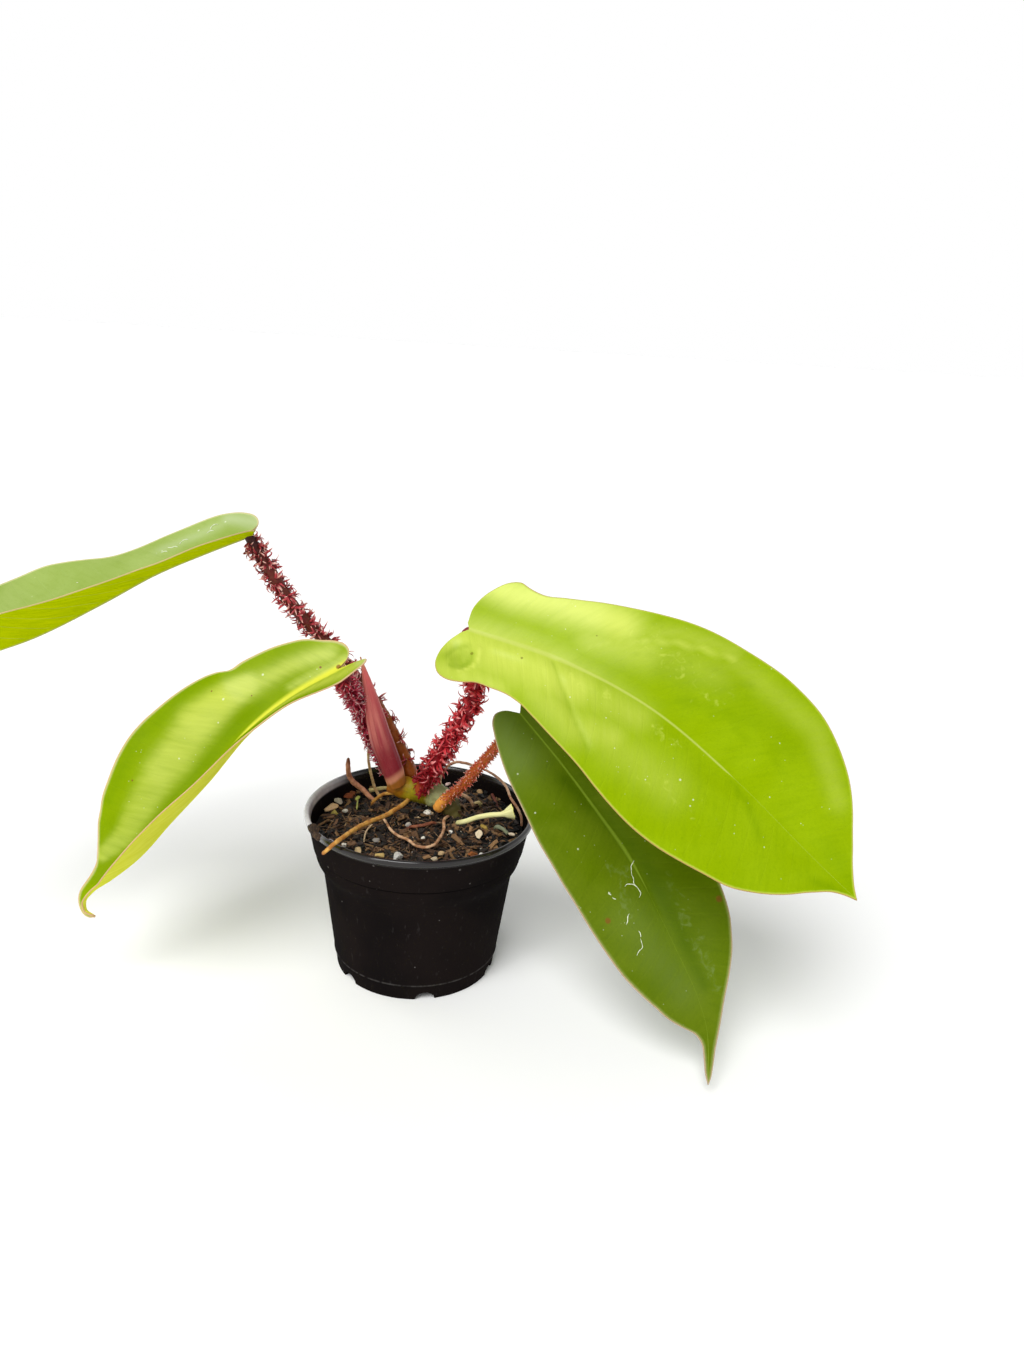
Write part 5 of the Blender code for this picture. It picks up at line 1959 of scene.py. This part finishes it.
BLADE_3 = Blade(
    number=3,
    rib=(
        (11, -8, 95.5), (32.5, -15, 91.5), (54, -22.5, 83.5), (73, -30.5, 71), (93, -40, 55),
        (101, -44, 49),
    ),
    face=((0, 0.1, -0.8, 0.6), (0.5, 0.15, -0.78, 0.62), (1, 0.25, -0.8, 0.55)),
    fold=((0, 12), (0.5, 10), (1, 5)), fold_near=((0, 12), (0.5, 10), (1, 5)), curl=-4,
    half=(
        (-1.5, 1.5), (-3.3, 5), (-3.9, 8.5), (-3.3, 12), (-1.6, 14), (0.5, 14.7), (4, 14.3),
        (7.3, 13.2), (11, 13.3), (15, 13.5), (19.7, 14.7), (24.6, 16.6), (30.6, 18.9), (39.2, 21.8),
        (48.4, 24.6), (58.8, 26), (66.2, 25.8), (73, 24.6), (81, 22.3), (87.5, 19.8), (91.7, 16.7),
        (96.5, 12), (100.7, 6.6), (104.5, 2.5), (107, 1),
    ),
    half_near=(
        (-1, 1.5), (-1.2, 5), (0, 8.5), (2.3, 11.6), (5.3, 14.1), (8.2, 14.9), (10.2, 14.2),
        (14.4, 13.6), (18.8, 14.8), (24.8, 16.8), (31, 18.8), (38, 21.2), (45, 23.6), (51.7, 25.5),
        (59.6, 27.1), (67.8, 28), (76, 27.2), (83.7, 24.4), (89, 21.2), (95.5, 15.5), (100.5, 9.5),
        (104, 4.9), (107, 1.8),
    ),
    skin=LeafSkin(
        upper=(132, 159, 0), bright=(139, 166, 8), deep=(101, 134, 0), painted_sheen_and_wear=(196, 208, 86),
        rib=(186, 196, 99), vein=(145, 170, 26), rim=(168, 183, 63), hem=(176, 146, 84),
        under=(155, 178, 42), under_bright=(170, 188, 62), under_far=(155, 178, 42),
        vein_share=0.05, blot=(118, 120, 30),
        flecks=(
            (63.1, 9.9, 0.35), (68.2, 11.3, 0.28), (68.6, 12.9, 0.25), (80.4, -2.8, 0.2),
            (30, 8, 0.22), (46, 14, 0.22), (40, 8.5, 0.2), (74, -14, 0.2), (57, 15.5, 0.22),
            (87, 7, 0.2),
        ),
        blots=((3.4, 6.1, 0.5), (15, 3.2, 0.4), (28.6, -9, 0.25)), hem_width=0.18, rim_width=0.6,
        rib_share=0.6, sheen_patch_gloss=0.35, gloss=0.04, hush=0.85,
    ),
    rib_line=(
        (0, 0.6), (0.1, 0.7), (0.2, 0.7), (0.28, 0.5), (0.4, 0.36), (0.58, 0.28), (0.64, 0.2),
        (0.655, 0.03), (1, 0.02),
    ),
    # The pale strokes paint sheen on the lobes and by the midrib, a highlight along a vein, the lit
    # side of the fold beside it and the lit rim of the dimple.
    pale=(
        Stroke(((-1, 4, 7), (10, 4.5, 8), (24, 5, 7)), 0.75),
        Stroke(((20, 5, 7), (30, 5, 6)), 0.72), Stroke(((30, 5, 6.5), (46, 4, 4)), 0.4),
        Stroke(((0, 12, 5), (12, 13, 5)), 0.6),
        Stroke(((22, 10, 4.5), (34, 14, 5), (44, 12, 4)), 0.45),
        Stroke(((46, 14, 5), (62, 13, 5)), 0.25),
        Stroke(((0, -12.5, 4.2), (8, -12, 4.8), (18, -13.5, 5.6), (32, -14.5, 5)), 0.92),
        Stroke(((28, -8, 4.5), (40, -11, 4.5)), 0.42), Stroke(((40, -11, 4.5), (54, -16, 4)), 0.22),
        Stroke(((56, -22, 3), (78, -23, 3), (92, -14, 2.5)), 0.2),
        Stroke(((28.6, -6, 0.6), (34, -10.4, 0.7), (42.4, -16, 0.8), (55, -22.4, 0.8)), 0.5),
        Stroke(((30, -10, 2.6), (42, -18.4, 2.6), (54, -24, 2.2)), 0.28),
        Stroke(((4.6, 4.2, 0.6), (5.6, 6.6, 0.7), (4.9, 9.6, 0.7), (2.6, 11.6, 0.6)), 0.95),
    ),
    wear=(
        Stroke(((51.6, 3.2, 2.6), (54, 4.6, 2.6)), 0.5),
        Stroke(((35.4, 2.1, 2.2), (37.2, 3.2, 2.2)), 0.5),
        Stroke(((57, 3.1, 2), (58.4, 4, 2)), 0.4), Stroke(((36, -14, 5), (56, -12, 6)), 0.35),
        Stroke(((56, 14, 5), (72, 12, 5)), 0.25), Stroke(((26, 2.6, 1.6), (30, 3.2, 2)), 0.4),
        Stroke(((8, -13, 4), (30, -14, 4)), 0.3),
    ),
    # The dark strokes paint shade in the dimple, along a crease, below the fold and towards the
    # tip, with a few darker vein lines.
    dark=(
        Stroke(((-1.8, 8.6, 1), (-1, 5.8, 1.1), (1.6, 4.6, 1)), 0.55),
        Stroke(((0, 10.8, 0.9), (2.4, 10.4, 1), (3.6, 8.4, 1.1), (3.4, 6.2, 1)), 0.62),
        Stroke(((0.4, 8.6, 2.6), (1.6, 6.8, 2.6)), 0.45),
        Stroke(((72, 1, 0.8), (77.6, 2.3, 1.1), (85.1, 6.1, 1.2)), 0.32),
        Stroke(((52.5, -6.3, 1.4), (60.5, -10.4, 1.8), (69.9, -13.7, 1.4)), 0.3),
        Stroke(((44, -10, 3.5), (60, -14.5, 4.5), (76, -15, 4)), 0.26),
        Stroke(((38, -9.5, 0.5), (50, -16, 0.6), (62, -20, 0.5)), 0.25),
        Stroke(((50, -5, 0.5), (64, -9, 0.6), (80, -10, 0.5)), 0.25),
        Stroke(((22.2, 1.3, 0.5), (26.5, 6.1, 0.5), (33.3, 12.5, 0.5), (40.7, 18.1, 0.5)), 0.35),
        Stroke(((100, 4, 1.4), (106, 1.4, 1.2)), 0.4), Stroke(((98, -4, 3), (106, -2, 2)), 0.3),
    ),
    swells=(
        Stroke(((22.2, 1.3, 0.9), (26.5, 6.1, 1.1), (33.3, 12.5, 1.1), (40.7, 18.1, 1)), -0.28),
        Stroke(((8, 2.6, 1.6), (22, 2.8, 2), (36, 2.2, 1.6)), 0.3),
        Stroke(((-0.7, 6.4, 2.4), (2.6, 9, 2.6)), -0.7),
        Stroke(((4.6, 4.6, 0.8), (5.6, 8, 0.8), (3.4, 11.8, 0.8)), 0.35),
        Stroke(((0, -3, 2.4), (20, -3.6, 2.4)), -0.35),
    ),
    wander=0.45,
)

BLADE_4 = Blade(
    number=4,
    rib=(
        (24.5, -4, 73.5), (36.5, -10.5, 62), (45.5, -16.5, 52.7), (53, -21.7, 44.5),
        (59, -27.4, 36), (64.2, -33, 28), (69.7, -39.7, 19), (71.6, -43.2, 14.5),
        (72.2, -51.5, 3.7),
    ),
    face=((0, 0.05, -0.85, 0.5), (0.5, 0.1, -0.8, 0.62), (1, 0.1, -0.8, 0.5)),
    fold=((0, 14), (0.5, 12), (1, 5)), fold_near=((0, 14), (0.5, 12), (1, 5)), curl=-4,
    half=(
        (-0.8, 0.8), (-2.3, 2), (-3.3, 3.7), (-3.5, 5.3), (-2.6, 6.8), (0.3, 8.7), (4.5, 10.8),
        (9, 12.6), (14, 14), (18.7, 15), (23.7, 16), (28, 16.8), (34.5, 17.5), (41.3, 18.2),
        (48.8, 18), (55, 17.4), (61.5, 16.4), (68, 15), (73, 13.2), (78, 11.1), (82.7, 8.6),
        (86.4, 5.4), (88.7, 2.6), (90.5, 1.5), (93.5, 1), (97, 0.6),
    ),
    half_near=(
        (-1, 1.2), (-3, 3), (-3.6, 5), (-2.6, 7), (0.5, 9), (4.5, 11), (9, 12.6), (14, 14),
        (20, 15.2), (27, 16.6), (34.5, 17.5), (42, 18), (50, 17.8), (56, 17), (62.5, 16.2),
        (66.2, 15.4), (70, 14), (73.4, 12.3), (76.5, 10.1), (80, 7.4), (83.8, 4.9), (87.5, 3),
        (91.5, 1.7), (95.5, 1.1), (98, 0.6),
    ),
    skin=LeafSkin(
        upper=(85, 106, 4), bright=(94, 113, 15), deep=(63, 88, 0), painted_sheen_and_wear=(119, 137, 77),
        rib=(128, 150, 44), vein=(112, 129, 28), rim=(123, 133, 63), hem=(172, 150, 120),
        under=(100, 120, 31), under_bright=(114, 133, 46), under_far=(100, 120, 31),
        vein_share=0.08,
        flecks=((22.6, 13.4, 0.3), (11.7, 10.7, 0.3), (35.6, 9.9, 0.3), (49.8, 9.2, 0.4)),
        blots=((55.5, 12.6, 0.9), (62.2, -14.7, 1)), roughness=0.4,
    ),
    rib_line=((0, 0.22), (0.22, 0.3), (0.34, 0.45), (0.45, 0.5), (0.5, 0.22), (1, 0.1)),
    # The pale strokes paint sheen.
    pale=(Stroke(((-4, 6, 5), (8, 8, 6)), 0.4), Stroke(((58, 7, 6), (78, 3, 4)), 0.15)),
    dark=(Stroke(((20, 2, 2), (46, -2.2, 2.4), (62, -2.6, 2.2), (78, -2.4, 1.6)), 0.5),),
    wear=(
        Stroke(((48, 3, 2.6), (56, 8, 3)), 0.45), Stroke(((54, -6, 3), (80, -5, 3)), 0.4),
        Stroke(((44, 6, 2), (50, 5, 2)), 0.5),
    ),
    swells=(Stroke(((30, 0.6, 0.8), (46, 0.6, 0.8), (60, 0.4, 0.6)), 0.18),), wander=0.35,
    lint=(
        ((45.6, -0.6), (46, 0.1), (46.4, 0.8), (47.2, 1.2), (48.2, 1.7)),
        ((48.2, 1.7), (49.4, 1.8), (50.4, 2.3), (51.9, 1.9), (53.4, 2), (53.9, 2.8)),
        ((50.1, 4.8), (49.8, 4), (50.1, 3.3), (50.5, 2.6), (51.1, 2.3)),
        ((50.4, 9), (49.9, 9.3), (49.4, 9.3)), ((51.8, 8.4), (51.4, 8.9), (51, 9)),
        ((58.2, 8.9), (57.6, 8.2), (56.7, 7.7), (56.2, 7)),
        ((65.8, 9.8), (65.1, 8.8), (64.7, 7.7), (63.8, 7.4), (62.6, 7.2)),
        ((62.4, 7), (61.6, 6.7), (60.8, 6.8)),
    ),
)

PETIOLE_1 = Petiole(
    number=1,
    route=(
        (-3.4, 12.6, 46.6), (-5.5, 13.5, 51.5), (-9, 14, 58.5), (-13.3, 13.5, 66.5),
        (-18.3, 12.5, 73.5), (-23.3, 11.5, 80.7), (-27.4, 10.5, 85.1), (-31, 10, 89),
        (-36.5, 9.2, 96.1), (-41.6, 8.5, 104.4), (-44, 8.3, 108.3), (-45.5, 8.1, 111.3),
    ),
    radii=((0, 1.9), (0.1, 1.6), (0.5, 1.5), (0.95, 1.6), (1, 1.3)),
    skin=BristleSkin(
        core=(92, 42, 26), root=(98, 24, 26), shaft=(180, 64, 72), tip=(255, 206, 190),
        foot=(132, 66, 18), head=(62, 24, 24), foot_end=0.42,
    ),
    scales=600, reach=2.8, bare=0.05,
    crowd=((0, 0.3), (0.35, 0.4), (0.5, 0.9), (0.95, 1.1), (1, 1.1)), curl=(0.9, 3.2), tuft=8,
    tuft_spread=0.26, clump=0.35, width=0.27, blunt=3, top_gap=0.4,
)

PETIOLE_2 = Petiole(
    number=2,
    route=(
        (-7.9, 12.4, 46.4), (-9.8, 12.2, 49.5), (-11.7, 11.8, 52.6), (-14, 10.6, 58),
        (-15.7, 8.6, 62.9), (-17.1, 5.4, 69.2), (-18.6, 1.2, 74.6), (-19.8, -2.2, 78.6),
        (-21, -4.4, 81),
    ),
    radii=((0, 1.9), (0.1, 1.7), (0.93, 1.8), (1, 1.1)),
    skin=BristleSkin(
        core=(104, 14, 30), root=(122, 14, 34), shaft=(204, 62, 88), tip=(246, 214, 214),
        foot=(140, 60, 34), head=(112, 20, 34),
    ),
    scales=820, reach=2.3, bare=0.06, tuft=2, clump=0.2, width=0.23, blunt=2.5,
)

PETIOLE_3 = Petiole(
    number=3,
    route=(
        (-0.6, 5.6, 45.4), (1, 3.5, 50.7), (3.2, 1, 55.8), (5, 0, 59.8), (6.3, -1.4, 63.2),
        (7.9, -2.5, 66.5), (9.9, -3.5, 70.2), (12, -4.2, 74.6), (13.2, -4.8, 79.4), (13.9, -5, 85),
        (13.2, -5.4, 90.2), (11.3, -6.3, 93.4),
    ),
    radii=((0, 1.9), (0.15, 1.75), (0.9, 1.6), (1, 1.6)),
    skin=BristleSkin(
        core=(122, 10, 22), root=(142, 14, 26), shaft=(196, 50, 58), tip=(248, 160, 158),
        foot=(176, 78, 40), head=(120, 12, 26), low_shade=0.9,
    ),
    scales=620, reach=3.5, bare=0.02, crowd=((0, 0.6), (0.06, 0.9), (0.12, 1.1), (1, 1)),
    growth=((0, 0.25), (0.05, 0.5), (0.1, 0.8), (0.18, 1), (0.93, 1), (1, 0.4)), wave=0.6,
    curl=(0.8, 2.8), width=0.36, tuft=3, tuft_spread=0.2, clump=0.3, lean=(-0.2, 1.3), blunt=3,
    top_gap=0.2, into_blade=1.7,
)

PETIOLE_4 = Petiole(
    number=4,
    route=(
        (4, 4.4, 41.6), (5.9, 2, 45.4), (8.6, 0.6, 48.5), (11.5, -0.6, 52.2), (14, -1.6, 56.2),
        (16.4, -2.3, 59.6), (18.5, -2.7, 62.6), (20.5, -2.9, 65.6), (22.6, -2.9, 68.9),
        (24, -2.3, 71.6),
    ),
    radii=((0, 1.5), (0.12, 1.42), (0.3, 1.3), (1, 1.3)),
    skin=BristleSkin(
        core=(160, 88, 34), root=(156, 62, 32), shaft=(196, 88, 68), tip=(250, 208, 190),
        foot=(244, 166, 74), head=(108, 58, 30), foot_end=0.24, low_shade=0,
    ),
    scales=460, reach=0.85, bare=0.13, width=0.22, blunt=1.8, curl=(0.2, 1.4),
    crowd=((0.1, 0.3), (0.24, 0.8), (1, 1.1)),
)

STEM = Stem(
    route=(
        (-9.4, 10.8, 45.6), (-6.5, 10, 45.2), (-3, 9, 44.8), (1.5, 7.8, 44.8), (5, 6.6, 44.2),
        (8, 5.4, 41.8), (10, 4.4, 38.4), (11, 3.8, 33.5),
    ),
    radii=((0, 2.3), (0.15, 3), (0.5, 3.2), (0.64, 2.9), (0.74, 1.9), (1, 1.6)),
    joints=((0.1, 0.05, 0.3), (0.2, 0.02, -0.12), (0.45, 0.05, 0.25), (0.58, 0.02, 0.2)),
)

SHEATH = Sheath(
    route=(
        (-7.3, 7.6, 47.2), (-7.9, 7, 50), (-9.8, 6.2, 55.8), (-11.3, 5.3, 60.4), (-12.8, 4.4, 66.8),
        (-14.3, 3.8, 73.7), (-15.6, 3.2, 79.4), (-16.5, 2.9, 82.9),
    ),
    radii=((0, 2.5), (0.1, 2.8), (0.35, 3), (0.55, 2.5), (0.75, 1.6), (0.93, 0.6), (1, 0.2)),
)

STUB = Stub(
    route=(
        (7.6, 3.2, 38), (9.5, 1.7, 39.3), (12, 0.5, 40.6), (15.3, -0.5, 42.5), (18.7, -1.2, 43.7),
        (22.4, -2, 44.7), (24.3, -1.6, 45.2),
    ),
    radii=((0, 0.72), (0.5, 0.66), (0.84, 0.7), (0.89, 0.95), (0.94, 1.55), (1, 2.1)),
)

AMBER = RootSkin(light=(208, 158, 80), dark=(166, 108, 48), tip=(150, 88, 46), tip_start=0.96)
TAN = RootSkin(light=(214, 176, 140), dark=(158, 112, 80), tip=(190, 140, 112))
PALE = RootSkin(light=(222, 182, 152), dark=(176, 124, 96), tip=(190, 140, 112))
RUST = RootSkin(light=(150, 92, 66), dark=(104, 58, 44), tip=(120, 70, 50))
PINK_BROWN = RootSkin(light=(220, 158, 124), dark=(170, 112, 82), tip=(124, 72, 48), tip_start=0.86)
STRAW_ROOT = RootSkin(light=(232, 206, 152), dark=(186, 150, 104), tip=(190, 140, 112))

ROOT_1 = Root(
    number=1,
    route=(
        (-3.9, 7, 42.9), (-4.6, 4, 43), (-6.4, 0, 43.1), (-8.4, -4, 43.2), (-11.4, -9.4, 43.9),
        (-13.9, -14.5, 44.6), (-15.3, -19.2, 45.3), (-16.5, -22.4, 45.5), (-17.7, -24.8, 45.4),
        (-19.2, -25.9, 44.2), (-20.8, -25.8, 42.5),
    ),
    radii=((0, 0.62), (0.5, 0.6), (1, 0.5)), skin=AMBER,
)

ROOT_2 = Root(
    number=2,
    route=(
        (-11.4, 4.4, 36.4), (-10.4, 1.8, 39.2), (-9.2, -1.2, 40.4), (-7, -5.6, 40), (-4.5, -9, 40),
        (-1.9, -10.8, 40), (0.9, -14, 40), (3, -14.5, 40.1), (4.6, -13.8, 40.3), (5.9, -10.2, 40.3),
        (6.7, -4.7, 40.6), (6.4, -0.7, 41), (6.6, 1.6, 40.6), (7.4, 4, 40.2),
    ),
    radii=((0, 0.34), (0.5, 0.38), (1, 0.42)), skin=TAN,
)

ROOT_3 = Root(
    number=3,
    route=(
        (-4.4, -1.6, 36.4), (-2.7, -1.3, 38.7), (-0.3, -2.3, 39.7), (2.3, -1.2, 40), (3.6, 0, 39.8),
        (4.3, 1.2, 38.4), (4.5, 2, 36.4),
    ),
    radii=((0, 0.4), (1, 0.5)), skin=RUST,
)

ROOT_4 = Root(
    number=4,
    route=(
        (4.6, 8.6, 45.6), (4.3, 9.2, 48.5), (5, 9.5, 50.2), (6.6, 9.3, 52.7), (8.4, 9, 53.7),
        (10.9, 8.5, 53.8), (12.7, 8, 53.6), (17.1, 7, 52.5), (19.7, 6.3, 51.2), (22.2, 5.5, 49),
        (23.6, 4.8, 46.1), (25.6, 3.9, 43.6), (26.7, 3.6, 41.4), (27, 3.4, 38.6),
    ),
    radii=((0, 0.42), (0.5, 0.34), (1, 0.36)), skin=PALE,
)

ROOT_5 = Root(
    number=5,
    route=(
        (-12.8, 13.2, 35.5), (-14, 13.8, 38.4), (-15.8, 14, 40.2), (-17.6, 14.5, 41.7),
        (-19.4, 14.2, 43.2), (-20.7, 13.4, 45.4), (-21.2, 12.5, 49), (-21, 12, 51.8),
    ),
    radii=((0, 0.5), (0.5, 0.75), (0.9, 0.65), (1, 0.4)), skin=PINK_BROWN,
)

ROOT_6 = Root(
    number=6,
    route=(
        (-11.4, 15.4, 35.5), (-12.8, 16, 38.6), (-14.4, 16.5, 41.6), (-15.3, 16, 45.6),
        (-16, 15, 50.2), (-15.9, 14, 54.1),
    ),
    radii=((0, 0.45), (1, 0.35)), skin=STRAW_ROOT,
)

ROOT_7 = Root(
    number=7,
    route=(
        (7.4, 9.4, 42.4), (9.5, 11, 43.4), (11.7, 10.5, 43), (13.1, 9.8, 41.7), (13.4, 8.8, 40.3),
        (12.6, 8, 38.8), (11.8, 7.4, 36.4),
    ),
    radii=((0, 0.5), (1, 0.4)), skin=TAN,
)

ROOT_8 = Root(
    number=8,
    route=(
        (-15, 11, 36), (-14.1, 11.2, 39.3), (-12.7, 10.9, 41), (-10.9, 10.2, 42.6),
        (-8.8, 9.4, 43.3), (-7.2, 9.2, 43.4),
    ),
    radii=((0, 0.45), (1, 0.5)), skin=AMBER,
)

MIX = PottingMix(
    wall=(
        (26.4, 33.5), (25.8, 31.5), (24.7, 29.3), (23.7, 27.3), (20, 3.9), (9.4, 3.9), (8.4, 1.3),
        (0.02, 1.3),
    ),
    grains=(
        (-24.4, 6.4, 39.6, 3.3, 1.3, (228, 190, 146)), (-23.1, 3.2, 39.4, 1.8, 1.1, (206, 186, 96)),
        (-20.8, 5.1, 39.2, 1.4, 1.1, (232, 228, 214)), (-23.5, 10.9, 39.4, 2, 1.6, (206, 196, 178)),
        (-18.1, 11, 40.5, 1.2, 1.8, (170, 176, 90)), (-21.2, 14.7, 39.4, 2, 1.7, (150, 78, 46)),
        (-20.5, 16.2, 39.3, 1.6, 1.5, (150, 84, 50)), (1.5, 5.1, 39.8, 1.8, 1.3, (236, 230, 218)),
        (-2.9, -0.7, 39.4, 1.7, 1.3, (196, 190, 182)), (-1.1, -8.1, 39.2, 1, 1, (238, 236, 226)),
        (1.7, -7.8, 39.2, 1, 1, (236, 232, 220)), (8.7, -4, 39.5, 1.2, 1, (238, 236, 226)),
        (-17.2, -15.9, 40.1, 1.4, 1.1, (236, 230, 216)),
        (-13.2, -18, 40.1, 2, 1.2, (214, 186, 140)), (-7.7, -20.2, 40, 2.3, 1.2, (206, 176, 110)),
        (-3.5, -19.2, 39.8, 2.5, 1.1, (222, 220, 214)), (5.7, -20, 39.9, 1.8, 1.2, (214, 196, 164)),
        (7.1, -16.2, 39.6, 1.5, 1.1, (196, 166, 124)), (15, -16.9, 40, 1.8, 1.6, (178, 104, 54)),
        (17.1, -16.2, 40, 1.2, 1.1, (236, 232, 222)), (14.9, 11.4, 39.8, 2.5, 1.2, (244, 224, 160)),
        (15, 21.7, 39.3, 2, 1.2, (190, 156, 112)), (19.6, 17.6, 39.5, 1.4, 1.8, (190, 156, 112)),
        (15.9, -5.1, 39.8, 2.2, 1.1, (222, 204, 172)), (17.2, -0.8, 39.8, 1.3, 2, (176, 148, 70)),
        (24.5, -3.9, 39.8, 1.6, 1.1, (226, 208, 180)), (5.5, 24.3, 40.3, 1.3, 1.2, (236, 206, 200)),
        (-9.9, -10.8, 39.4, 1.8, 1.2, (140, 136, 130)),
        (-24.3, -16.9, 44.3, 2.7, 1.3, (44, 32, 25)), (-23.4, -18.6, 43.6, 2.4, 1.2, (56, 42, 33)),
        (-25.2, -15.8, 44.2, 2.1, 1.2, (34, 25, 20)),
    ),
    sticks=(
        (((-17.9, 7.8, 38.6), (-18, 9.4, 39.8), (-18.1, 11, 40.5)), 0.25, (176, 180, 96)),
        (((-16, 17.3, 40), (-13, 17.9, 40.6), (-9.9, 18.4, 40.8)), 0.6, (214, 196, 130)),
        (((18.4, 20.5, 39.6), (19.4, 16, 39.9), (20.3, 11.2, 39.6)), 0.45, (124, 62, 44)),
        (
            ((20, 0.3, 39.3), (20.4, -0.5, 40), (22, -2.2, 40.3), (23.4, -3.8, 39.9)), 0.6,
            (128, 134, 104),
        ),
        (((-12.3, -2.2, 39.3), (-13.1, -6.9, 39.6), (-12.9, -12, 39.3)), 0.25, (206, 178, 140)),
        (((-22, -16, 41), (-20.6, -17.2, 41.6), (-19.2, -18, 40.6)), 0.12, (196, 186, 200)),
        (((-21.4, -15.4, 40.8), (-20.4, -16.8, 41.9), (-18.4, -17.4, 40.4)), 0.1, (206, 198, 210)),
    ),
)

POT = Pot(
    profile=(
        (0, 1, 0), (8.7, 1, 0.3), (9.7, 3.6, 0.3), (20.3, 3.6, 0.4), (24.1, 27.3, 0.5),
        (25, 29.3, 0.6), (26.1, 31.5, 0.8), (26.6, 33.5, 1), (28.3, 42.3, 0.5), (28.5, 43.4, 0.5),
        (29, 44, 0.4), (29.7, 43.95, 0.35), (30, 43.4, 0.4), (29.9, 42.5, 0.35), (29.3, 42.1, 0.25),
        (28.9, 41.2, 0.5), (27.65, 34.45, 0.08), (27.3, 34.15, 0.12), (26.9, 31.4, 1.4),
        (25.4, 28.9, 1.4), (24.85, 26.8, 1.4), (22, 4.5, 0.2), (22.15, 4.3, 0.15), (21.7, 4, 0.15),
        (21.3, 0, 0.25), (20.3, 0, 0.25), (20.5, 2.6, 0.3), (10.5, 2.6, 0.3), (9.5, 0, 0.3),
        (0, 0, 0),
    ),
    plastic=PotPlastic(
        scuffs=(
            (-20.7, -18.4, 35.1, 0.33), (-19.6, -19.1, 33.3, 0.23), (-18.2, -19.4, 30.1, 0.26),
            (-16.6, -21.9, 34.2, 0.2), (-17.4, -17.4, 25, 0.23), (-8.2, -27.8, 41.3, 0.33),
            (-9.2, -26.4, 36.4, 0.23), (-7.5, -26.5, 34.2, 0.26), (4.7, -28.5, 41.2, 0.2),
            (12.3, -26, 40.7, 0.39), (14.8, -23.6, 35.8, 0.26), (19.6, -17.8, 29.6, 0.23),
            (2, -22.7, 10.6, 0.26), (7.7, -23.3, 24.9, 0.23),
        ),
    ),
)

STUDIO = Studio(
    lights=(
        Daylight("key_daylight", -22, 52, 34, 0.7),
        Softbox("tall_front_left", (-460, -640, 410), (-45, -12, 60), (115, 560), 4),
        Softbox("back_left", (-700, 330, 620), (-60, 0, 80), (380, 380), 2.5),
    ),
)


def main() -> None:
    """Builds every part of the plant and its pot, then the studio, and logs the face count of each
    piece of the plant and pot.
    """
    logging.basicConfig(level=logging.INFO, format="%(name)s: %(message)s")
    roots = (ROOT_1, ROOT_2, ROOT_3, ROOT_4, ROOT_5, ROOT_6, ROOT_7, ROOT_8)
    petioles = (PETIOLE_1, PETIOLE_2, PETIOLE_3, PETIOLE_4)
    blades = (BLADE_1, BLADE_2, BLADE_3, BLADE_4)
    for part in (POT, MIX, STEM, SHEATH, STUB, *roots, *petioles, *blades, STUDIO):
        part.build()
        log.info("built %s", type(part).__name__)
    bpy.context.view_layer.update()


if __name__ == "__main__":
    main()
